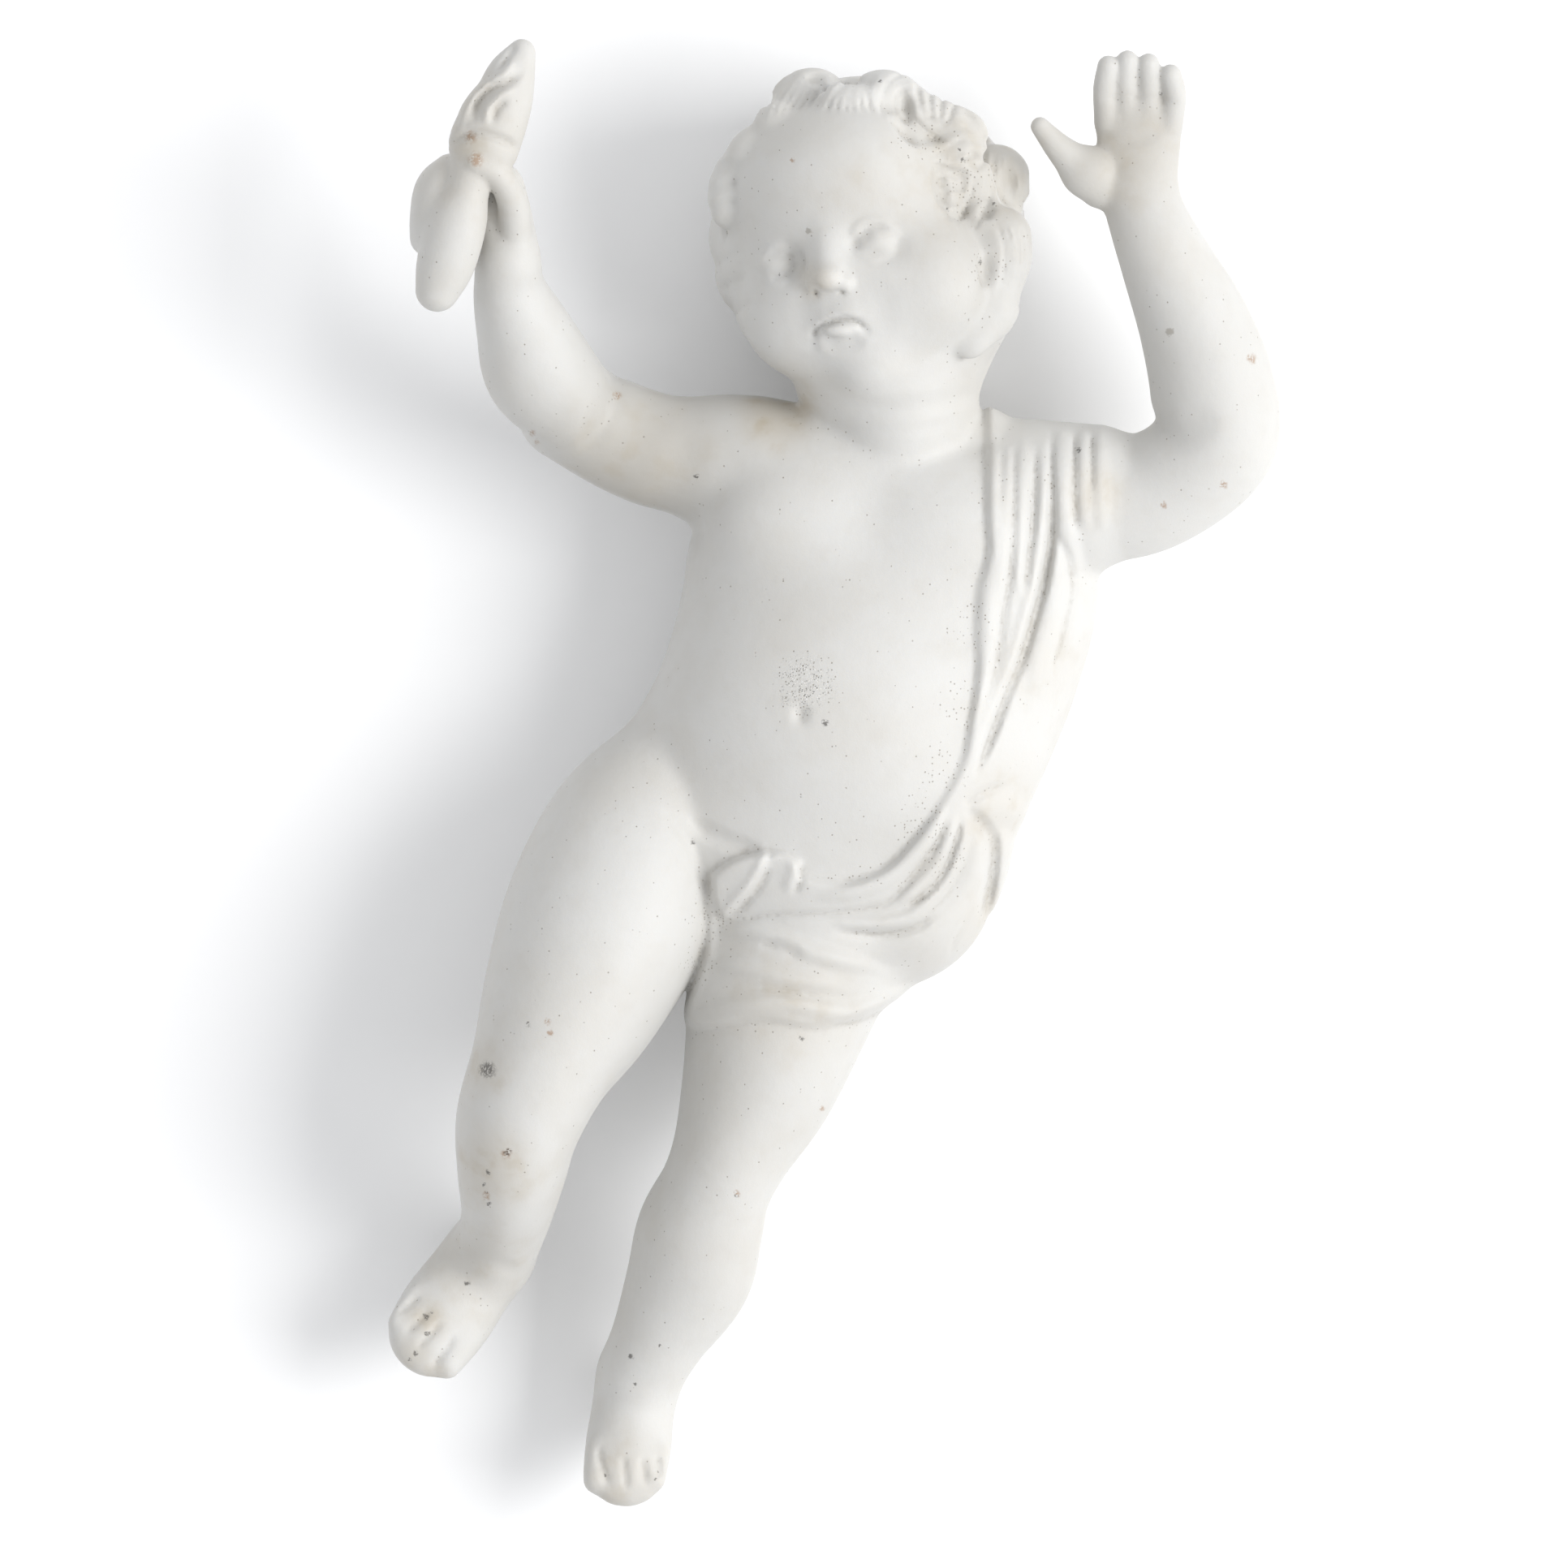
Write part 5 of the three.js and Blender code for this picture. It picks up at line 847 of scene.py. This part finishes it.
def carve_hair(clay):
    """Tufts and the pits between them."""
    clay.blob(*HAIR_CAP)
    for centre, radii, blend in HAIR_MASSES:
        clay.blob(centre, radii, blend)
    for x, y, width, height, thickness, turn in TUFTS:
        z = (clay.top(x, y) or HEAD[2]) - TUFT_SINK * thickness
        clay.blob([x, y, z], [width, height, thickness], TUFT_BLEND, turned(turn))
    for x, y, width, height, thickness, turn, z in LOW_TUFTS:
        clay.blob([x, y, z], [width, height, thickness], LOW_TUFT_BLEND, turned(turn))
    carve_locks_behind(clay)
    for x, y, width, height, depth, turn in HAIR_PITS:
        z = clay.top(x, y) + PIT_RISE * depth
        clay.scoop([x, y, z], [width, height, depth], PIT_BLEND, turned(turn))


def carve_strands(clay):
    """Fine grooves in the hair, spread between the lines of each lock."""
    for lines, count in COMBS:
        runs = catmull([sum(line, []) for line in lines], STRAND_STEPS)
        for n in range(count):
            run = runs[round(n * (len(runs) - 1) / (count - 1))].reshape(-1, 2)
            clay.stroke(run.tolist(), *STRAND, BODY_FLOOR)


def carve_eyes(clay):
    """Each eye is a ball in a hollow, with a small pit at its inner corner."""
    aside, rise, wide, high, deep, blend = EYE_HOLLOW
    sunk, half_depth, edge = EYE_BALL
    for x, y, width, height in EYES:
        z = clay.top(x, y)
        clay.scoop([x + aside, y + aside, z + rise], [width * wide, height * high, deep], blend)
        clay.blob([x, y, z - sunk], [width, height, half_depth], edge)
    for corner in seated(clay, EYE_CORNERS):
        clay.scoop(corner[:3], corner[3:], EYE_CORNER_BLEND)


def carve_face(clay):
    """Eyes, nose, mouth, and the soft dents of face and body."""
    carve_eyes(clay)
    ridge_blend, form_blend, nostril_blend = NOSE_BLENDS
    ridge, forms = seated(clay, NOSE_RIDGE), seated(clay, NOSE_FORMS)
    clay.add(ridge, ridge_blend)
    for form in forms:
        clay.blob(form[:3], form[3:], form_blend)
    for nostril in seated(clay, NOSTRILS):
        clay.scoop(nostril[:3], nostril[3:], nostril_blend)
    upper_blend, lower_blend = LIP_BLENDS
    upper, lower = seated(clay, UPPER_LIP), seated(clay, [LOWER_LIP])[0]
    clay.add(upper, upper_blend)
    clay.blob(lower[:3], lower[3:], lower_blend)
    clay.stroke(MOUTH_LINE, *MOUTH_GROOVE, FACE_FLOOR)
    for line, width, depth in DENTS:
        clay.stroke(line, width, -depth, BODY_FLOOR)
    for line, width, height in LIDS:
        clay.stroke(line, width, height, FACE_FLOOR)


def carve_drapery(clay):
    """The navel, the cloth with its knot, and its folds."""
    navel = seated(clay, [NAVEL])[0]
    clay.scoop(navel[:3], navel[3:], NAVEL_BLEND)
    far = [CLOTH_SOFT_FAR, CLOTH_SOFT_FROM, CLOTH_SOFT_TO]
    clay.sheet(CLOTH_EDGE, CLOTH_THICKNESS, CLOTH_FLOOR, CLOTH_FADE, CLOTH_SOFT, *far)
    clay.sheet(LEAF_EDGE, LEAF_THICKNESS, CLOTH_FLOOR, CLOTH_FADE, LEAF_SOFT, *far)
    for line, width, height in FOLDS:
        clay.stroke(line, width, height, CLOTH_FLOOR)
    for line, width, depth in VALLEYS:
        clay.stroke(line, width, -depth, CLOTH_FLOOR)


def carved(cell):
    """The whole figure as a block of distances, cut off flat where it lies."""
    clay = Clay(BLOCK_LOW, BLOCK_HIGH, cell)
    carve_body(clay)
    clay.soften(max(1, round((SOFTENING / cell) ** 2)))
    carve_hands(clay)
    carve_hair(clay)
    carve_face(clay)
    carve_drapery(clay)
    carve_strands(clay)
    np.maximum(clay.field, -clay.axes[2][None, None, :], out=clay.field)
    return clay


class Wire:
    """An output of a material's node, so that a sum on it adds the nodes that it needs."""

    def __init__(self, finish, socket):
        self.finish = finish
        self.socket = socket

    def __add__(self, other):
        return self.finish.maths("ADD", self, other)

    def __sub__(self, other):
        return self.finish.maths("SUBTRACT", self, other)

    def __rsub__(self, other):
        return self.finish.maths("SUBTRACT", other, self)

    def __mul__(self, other):
        return self.finish.maths("MULTIPLY", self, other)

    def __truediv__(self, other):
        return self.finish.maths("DIVIDE", self, other)

    __radd__ = __add__
    __rmul__ = __mul__

    def clear_of(self, start, end):
        """0 up to start, 1 from end, smooth between. With start over end it falls instead."""
        settings = {"interpolation_type": "SMOOTHSTEP", "clamp": True}
        inputs = {"Value": self, "From Min": start, "From Max": end}
        return self.finish.node("ShaderNodeMapRange", settings, inputs)


class Finish:
    """A material under way."""

    def __init__(self, name):
        self.material = bpy.data.materials.new(name)
        self.material.use_nodes = True
        self.tree = self.material.node_tree
        self.tree.nodes.clear()

    def node(self, kind, settings, inputs, output=0):
        """A node of a kind, set and fed as told, as the wire that leaves it."""
        made = self.tree.nodes.new(kind)
        for key, value in settings.items():
            setattr(made, key, value)
        for key, value in inputs.items():
            if isinstance(value, Wire):
                self.tree.links.new(value.socket, made.inputs[key])
            else:
                made.inputs[key].default_value = value
        return Wire(self, made.outputs[output])

    def maths(self, operation, first, second):
        return self.node("ShaderNodeMath", {"operation": operation}, {0: first, 1: second})

    def highest(self, wires):
        most = wires[0]
        for wire in wires[1:]:
            most = self.maths("MAXIMUM", most, wire)
        return most

    def vector(self, operation, inputs):
        """Vector maths. A distance leaves by the node's second output."""
        return self.node("ShaderNodeVectorMath", {"operation": operation}, inputs, operation == "DISTANCE")

    def tint(self, share, under, over):
        """The colour under, going over to the second one by share."""
        return self.node("ShaderNodeMix", {"data_type": "RGBA"}, {0: share, 6: under, 7: over}, 2)

    def kept(self, name):
        """A value that the mesh holds at every point."""
        return self.node("ShaderNodeAttribute", {"attribute_name": name}, {}, 2)

    def noise(self, place, scale, detail=3.0):
        return self.node("ShaderNodeTexNoise", {}, {"Vector": place, "Scale": scale, "Detail": detail})

    def specks(self, place, scale, channel):
        """Scattered specks: the distance to the nearest one's middle, and a random value of its own."""
        inputs = {"Vector": place, "Scale": scale}
        middle = self.node("ShaderNodeTexVoronoi", {}, inputs)
        own = self.node("ShaderNodeTexVoronoi", {}, inputs, 1)
        return middle, self.node("ShaderNodeSeparateColor", {}, {0: own}, channel)

    def shade(self, inputs):
        """Ends the material with a surface of these inputs."""
        surface = self.node("ShaderNodeBsdfPrincipled", {}, inputs)
        end = self.tree.nodes.new("ShaderNodeOutputMaterial")
        self.tree.links.new(surface.socket, end.inputs["Surface"])
        return self.material


# colours of the bisque, its age, what has stuck to it and its painted shade, as linear light
CLEAN = (0.60, 0.593, 0.572, 1)
WARM = (0.55, 0.532, 0.495, 1)
# the grime colour, which also paints shade into the creases
GRIME_AND_SHADE = (0.27, 0.245, 0.205, 1)
# the colour of the broad patches of painted shade
PATCH_SHADE = (0.33, 0.315, 0.285, 1)
SOOT = (0.055, 0.05, 0.045, 1)
RUST = (0.30, 0.17, 0.085, 1)
OCHRE = (0.46, 0.37, 0.23, 1)
CHALK = (0.80, 0.79, 0.76, 1)
ROUGHNESS = 0.62
ROUGHNESS_SPREAD = 0.14
# light that comes back out of the bisque, and how deep it goes, in metres
GLOW = 0.12
GLOW_DEPTH = 0.0015
# shares of painted shade in broad hollows, and of dirt with painted shade in creases
IN_HOLLOWS = 0.28
IN_CREASES = 0.3
LEAST_IN_CREASES = 0.12
# borders of marks drift by this, with noise of this scale
DRIFT = 0.5
DRIFT_SCALE = 3.0
# what faces the floor carries no marks: how far up a place must face to carry them in full
FACING = 0.35
# pinholes and grit: specks to a hundredth, and where their edges lie between two specks
PINHOLE_SCALE = 4.2
PINHOLE_EDGE = (0.3, 0.16)
PINHOLE_LUCK = (0.97, 0.99)
IN_CROWD = 0.5
GRIT_SCALE = 8.5
GRAIN_EDGE = (0.45, 0.3)
# heights of the fine relief
TOOTH = 0.012
WAVES = 0.05
PINHOLE_DEPTH = 0.06
GRAIN_HEIGHT = 0.05
PAPER_WHITE = (0.96, 0.96, 0.96, 1)

# stage, light and camera: metres and watts, and for the picture hundredths of the figure
FLOOR_WIDTH = 6.0
FLOOR_GAP = 0.0001
ROOM_BRIGHTNESS = 0.79
ROOM_COLOUR = (0.97, 0.98, 1.0, 1)
WINDOW_PLACE = (0.82, -0.02, 0.80)
WINDOW_SIZE = 0.7
WINDOW_POWER = 11.0
LENS = 600
SENSOR = 36
FAR_CLIP = 100
PICTURE_WIDTH = 107.33
PICTURE_MIDDLE = (-6.61, -15.33)
# the height at which the picture is exactly that wide
LEVEL_IN_VIEW = 10

# small marks: x, y, radius
SOOT_MARKS = [
    [-24.3, -29.8, 0.5], [-1.3, -6.2, 0.2], [-10.1, 10.7, 0.12], [-10.3, -14.3, 0.16],
    [16.0, 12.5, 0.16], [21.55, 36.75, 0.14], [-14.6, -49.5, 0.18], [-2.9, -27.7, 0.14],
    [-21.5, -26.7, 0.18], [-25.8, -44.5, 0.18], [-12.6, -48.8, 0.1], [-22.9, -35.4, 0.22],
    [-24.3, -36.8, 0.15], [-24.55, -37.6, 0.11], [-24.4, -38.2, 0.1], [-24.2, -39.0, 0.12],
    [-28.6, -46.8, 0.17], [-28.3, -46.5, 0.1], [-28.5, -48.0, 0.14], [-29.3, -49.3, 0.15],
    [-29.7, -49.7, 0.12], [-27.8, -51.1, 0.14], [-7.4, -38.4, 0.13], [-14.3, -51.4, 0.1],
    [-12.9, -57.9, 0.09], [-16.3, -57.7, 0.09], [8.05, 32.25, 0.13], [7.85, 32.9, 0.08], [10.2, 29.3, 0.1],
    [7.1, 28.8, 0.12], [9.3, 25.2, 0.12], [2.5, 37.6, 0.12], [-1.95, 22.95, 0.1], [-2.0, 19.6, 0.07],
    [-4.4, 24.4, 0.07],
]
RUST_MARKS = [
    [-23.0, -35.5, 0.32], [-24.4, -38.4, 0.25], [-7.3, -38.3, 0.18], [-1.5, -32.5, 0.16], [-20.2, -26.5, 0.2],
    [-20.0, -27.3, 0.16], [-25.0, 32.1, 0.45], [-25.4, 33.6, 0.35], [-15.5, 16.2, 0.25], [-21.3, 13.6, 0.2],
    [-21.0, 13.0, 0.16], [27.8, 18.7, 0.28], [25.9, 10.1, 0.22], [21.8, 8.7, 0.2], [-3.5, 32.1, 0.14],
]
GREY_MARKS = [[-2.45, 27.3, 0.24], [22.2, 20.5, 0.25]]
# broad stains: x, y, radius, strength
STAINS = [
    [-4.6, 15.0, 2.2, 0.75], [17.2, 9.5, 1.8, 0.4], [1.3, 29.8, 2.6, 0.25], [-2.0, 24.0, 1.1, 0.5],
    [-28.5, -47.0, 1.4, 0.5], [-29.4, -49.3, 1.2, 0.5], [-28.2, -50.8, 1.0, 0.5], [-24.0, -36.5, 2.6, 0.5],
    [-25.0, 32.6, 1.5, 0.4], [-25.0, -43.5, 3.0, 0.3], [-15.0, -57.8, 2.6, 0.35], [11.0, -12.0, 3.0, 0.3],
    [-24.4, -29.8, 1.5, 0.4], [13.5, -2.0, 2.5, 0.2], [-14.0, 11.5, 4.5, 0.3], [19.5, 32.5, 3.2, 0.3],
    [8.8, 31.5, 5.0, 0.3], [-25.0, 33.0, 4.5, 0.25], [-4.0, -25.6, 3.5, 0.3], [11.0, -20.0, 2.6, 0.3],
]
# broad patches of painted shade: x, y, radius, strength
SHADE_PATCHES = [
    [-13.0, 12.5, 6.0, 0.42], [20.2, 33.5, 5.0, 0.34], [9.5, 27.5, 7.0, 0.22], [-7.0, -30.0, 7.0, 0.2],
    [25.0, 17.0, 7.0, 0.16], [3.0, -20.0, 8.0, 0.16], [-9.0, -43.0, 6.0, 0.14],
]
# the patch of grit over the navel, and where pinholes crowd: x, y, radius
GRIT = [-2.6, -3.5, 1.7]
PINHOLE_RUNS = [
    [8.6, 0.5, 1.3], [7.7, -5.0, 1.3], [6.6, -9.5, 1.5], [5.4, -13.0, 1.6], [6.8, -15.6, 1.4],
    [-9.2, -19.5, 1.4], [-9.8, -22.6, 1.3], [-2.6, -3.5, 1.9], [9.8, 25.0, 1.3], [5.4, 33.6, 1.6],
    [9.0, 30.2, 1.8],
]


def nearness(finish, place, marks, soft):
    """How far inside the nearest of some round marks a place is: 1 inside, 0 outside."""
    nearest = None
    for x, y, radius in marks:
        reach = finish.vector("DISTANCE", {0: place, 1: (x, y, 0)}) / radius
        nearest = reach if nearest is None else finish.maths("MINIMUM", nearest, reach)
    return nearest.clear_of(1 + soft, 1 - soft)


def broad_marks(finish, place, marks, soft):
    """The strongest of some round marks that each have a strength of their own."""
    return finish.highest([nearness(finish, place, [mark[:3]], soft) * mark[3] for mark in marks])


class Places:
    """Where a point of the bisque lies: in space, in the view, and in the view with ragged borders."""

    def __init__(self, finish):
        own = finish.node("ShaderNodeTexCoord", {}, {}, 3)
        self.space = finish.vector("SCALE", {0: own, "Scale": 1 / HUNDREDTH})
        self.view = finish.vector("MULTIPLY_ADD", {0: self.space, 1: (1, 1, 0), 2: (*REST_SPOT[:2], 0)})
        drift = finish.node("ShaderNodeTexNoise", {}, {"Vector": self.space, "Scale": DRIFT_SCALE}, 1)
        moved = finish.vector("MULTIPLY_ADD", {0: drift, 1: (DRIFT, DRIFT, 0), 2: self.view})
        self.ragged = finish.vector("SUBTRACT", {0: moved, 1: (DRIFT / 2, DRIFT / 2, 0)})
        normal = finish.node("ShaderNodeNewGeometry", {}, {}, 1)
        self.seen = finish.node("ShaderNodeSeparateXYZ", {}, {0: normal}, 2).clear_of(0.0, FACING)


def aged(finish, places, crease):
    """The bisque's colour, with clouds and stains, painted shade in its hollows, dirt and painted shade in
    its creases, and broad patches of painted shade.
    """
    cloudy = finish.noise(places.space, 0.11, 4.0).clear_of(0.42, 0.68)
    mottled = finish.noise(places.space, 0.55, 5.0).clear_of(0.45, 0.75)
    uneven = finish.noise(places.space, 2.2).clear_of(0.3, 0.65)
    colour = finish.tint(cloudy * 0.55 + mottled * 0.25, CLEAN, WARM)
    # painted shade: broad hollows are tinted darker and warmer
    colour = finish.tint(finish.kept("hollow").clear_of(0.1, 1.0) * IN_HOLLOWS, colour, WARM)
    # dirt and painted shade: creases are darkened towards the grime colour
    grime_and_shade = crease.clear_of(0.25, 1.3) * (uneven * IN_CREASES + LEAST_IN_CREASES)
    colour = finish.tint(grime_and_shade, colour, GRIME_AND_SHADE)
    # painted shade: broad grey patches darken parts of the figure
    painted_shade = broad_marks(finish, places.ragged, SHADE_PATCHES, 0.8) * places.seen
    colour = finish.tint(painted_shade, colour, PATCH_SHADE)
    stained = broad_marks(finish, places.ragged, STAINS, 0.75) * places.seen * (mottled * 0.45 + 0.4)
    colour = finish.tint(stained, colour, OCHRE)
    return finish.tint(stained * 0.35, colour, GRIME_AND_SHADE)


def speckled(finish, places, crease, colour):
    """The colour with pinholes and a patch of grit, and how far a point is in a pinhole and on a grain."""
    middle, luck = finish.specks(places.space, PINHOLE_SCALE, 0)
    crowd = nearness(finish, places.view, PINHOLE_RUNS, 0.5) * places.seen
    holes = middle.clear_of(*PINHOLE_EDGE) * (luck + crowd * IN_CROWD + crease * 0.3).clear_of(*PINHOLE_LUCK)
    colour = finish.tint(holes * 0.8, colour, GRIME_AND_SHADE)

    middle, kind = finish.specks(places.space, GRIT_SCALE, 1)
    patch = nearness(finish, places.ragged, [GRIT], 0.5) * places.seen
    uneven = finish.noise(places.space, 2.2).clear_of(0.35, 0.6)
    grains = middle.clear_of(*GRAIN_EDGE) * patch * uneven
    colour = finish.tint(grains * kind.clear_of(0.5, 0.55) * 0.8, colour, CHALK)
    colour = finish.tint(grains * kind.clear_of(0.42, 0.36) * 0.8, colour, SOOT)
    return colour, holes, grains


def marked(finish, places, colour):
    """The colour with the single marks on it, each one broken up."""
    broken = finish.noise(places.space, 6.0, 2.0).clear_of(0.36, 0.52)
    rust = nearness(finish, places.ragged, RUST_MARKS, 0.6) * broken * places.seen
    colour = finish.tint(rust * 0.65, colour, RUST)
    grey = nearness(finish, places.ragged, GREY_MARKS, 0.3) * places.seen
    colour = finish.tint(grey * 0.6, colour, GRIME_AND_SHADE)
    soot = nearness(finish, places.ragged, SOOT_MARKS, 0.5) * broken * places.seen
    return finish.tint(soot * 0.75, colour, SOOT)


def bisque():
    """Unglazed porcelain: dry and pale, with painted shade in its hollows and in broad patches, dirt and
    painted shade in its creases, pinholes and a few stains.
    """
    finish = Finish("bisque")
    places = Places(finish)
    crease = finish.kept("crease")
    colour, holes, grains = speckled(finish, places, crease, aged(finish, places, crease))
    colour = marked(finish, places, colour)

    tooth = finish.noise(places.space, 9.0, 2.0) * TOOTH + finish.noise(places.space, 1.3, 3.0) * WAVES
    height = tooth - holes * PINHOLE_DEPTH + grains * GRAIN_HEIGHT
    bump = finish.node("ShaderNodeBump", {}, {"Strength": 0.5, "Distance": HUNDREDTH, "Height": height})
    rough = finish.noise(places.space, 0.4, 3.0) * ROUGHNESS_SPREAD + (ROUGHNESS - ROUGHNESS_SPREAD / 2)
    return finish.shade({"Base Color": colour, "Roughness": rough, "Normal": bump,
                         "Subsurface Weight": GLOW, "Subsurface Radius": (1.0, 0.85, 0.65),
                         "Subsurface Scale": GLOW_DEPTH})


def paper():
    """The pale sheet that the figure lies on."""
    finish = Finish("pale_paper")
    return finish.shade({"Base Color": PAPER_WHITE, "Roughness": 0.9})


def blurred(block, cells):
    """The block with each value spread over its neighbours, that many cells each way, along every axis."""
    wide = 2 * cells + 1
    for axis in range(3):
        pad = [(0, 0)] * 3
        pad[axis] = (cells + 1, cells)
        run = np.cumsum(np.pad(block, pad, mode="edge"), axis, dtype=np.float32)
        size = run.shape[axis]
        block = (run.take(range(wide, size), axis) - run.take(range(size - wide), axis)) / wide
    return block


def sampled(block, places, clay):
    """The block's value at each place, worked out between the eight nearest."""
    spot = (places - clay.low) / clay.cell
    cell = spot.astype(int)
    part = spot - cell
    total = np.zeros(len(places))
    for corner in CELL_CORNERS:
        way = np.array(corner)
        share = np.where(way, part, 1 - part).prod(1)
        total += share * block[tuple((cell + way).T)]
    return total


def add(name, data):
    thing = bpy.data.objects.new(name, data)
    bpy.context.scene.collection.objects.link(thing)
    return thing


def skin_mesh(clay):
    """The carved block's skin as a mesh of four-sided faces."""
    places, quads = clay.skin()
    mesh = bpy.data.meshes.new("putto")
    mesh.vertices.add(len(places))
    mesh.vertices.foreach_set("co", ((places - REST_SPOT) * HUNDREDTH).ravel())
    mesh.loops.add(quads.size)
    mesh.loops.foreach_set("vertex_index", quads.ravel().astype(np.int32))
    mesh.polygons.add(len(quads))
    mesh.polygons.foreach_set("loop_start", np.arange(0, quads.size, quads.shape[1], dtype=np.int32))
    mesh.update(calc_edges=True)
    mesh.validate()
    return mesh


def thinned(mesh):
    """The mesh with no more triangles than its limit."""
    rough = add("putto_rough", mesh)
    thin = rough.modifiers.new("thin", "DECIMATE")
    thin.ratio = min(1.0, MOST_TRIANGLES / (2 * len(mesh.polygons)))
    final = bpy.data.meshes.new_from_object(rough.evaluated_get(bpy.context.evaluated_depsgraph_get()))
    bpy.data.objects.remove(rough)
    final.shade_smooth()
    return final


def mark_hollows(mesh, clay):
    """Keeps at every point how deep it lies in a crease and in a broad hollow."""
    places = np.empty(len(mesh.vertices) * 3)
    mesh.vertices.foreach_get("co", places)
    places = places.reshape(-1, 3) / HUNDREDTH + REST_SPOT
    block = np.clip(clay.field, -HOLLOW_REACH, HOLLOW_REACH)
    for name, cells, most in HOLLOWS:
        depth = sampled(block, places, clay) - sampled(blurred(block, cells), places, clay)
        kept = mesh.attributes.new(name, "FLOAT", "POINT")
        kept.data.foreach_set("value", np.clip(depth / most, 0, 1).astype(np.float32))


def make_putto():
    clay = carved(FINE_CELL)
    mesh = thinned(skin_mesh(clay))
    mark_hollows(mesh, clay)
    mesh.materials.append(bisque())
    putto = add("putto", mesh)
    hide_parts("putto_figurine")
    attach(putto, "root")


def make_floor():
    mesh = bpy.data.meshes.new("paper_floor")
    edge = FLOOR_WIDTH / 2
    corners = [(-edge, -edge), (edge, -edge), (edge, edge), (-edge, edge)]
    mesh.from_pydata([(x, y, -FLOOR_GAP) for x, y in corners], [], [(0, 1, 2, 3)])
    mesh.materials.append(paper())
    add("paper_floor", mesh)


def make_light():
    """An evenly bright room, and a soft window half way up at the figure's left side."""
    world = bpy.data.worlds.new("soft_room")
    world.use_nodes = True
    room = world.node_tree.nodes["Background"]
    room.inputs["Color"].default_value = ROOM_COLOUR
    room.inputs["Strength"].default_value = ROOM_BRIGHTNESS
    bpy.context.scene.world = world
    data = bpy.data.lights.new("window", "AREA")
    data.shape = "SQUARE"
    data.size = WINDOW_SIZE
    data.energy = WINDOW_POWER
    window = add("window", data)
    window.location = WINDOW_PLACE
    across, along, up = WINDOW_PLACE
    window.rotation_euler = (math.atan2(math.hypot(across, along), up), 0, math.atan2(across, -along))


def make_camera():
    """The camera looks straight down, from far enough to show the figure almost without perspective."""
    data = bpy.data.cameras.new("camera")
    data.lens = LENS
    data.sensor_width = SENSOR
    data.clip_end = FAR_CLIP
    camera = add("camera", data)
    width = PICTURE_WIDTH * HUNDREDTH
    across, along = PICTURE_MIDDLE
    height = LEVEL_IN_VIEW * HUNDREDTH + width * LENS / SENSOR
    camera.location = (across * HUNDREDTH, along * HUNDREDTH, height)
    bpy.context.scene.camera = camera
    bpy.context.scene.view_settings.view_transform = "Standard"


make_putto()
make_floor()
make_light()
make_camera()
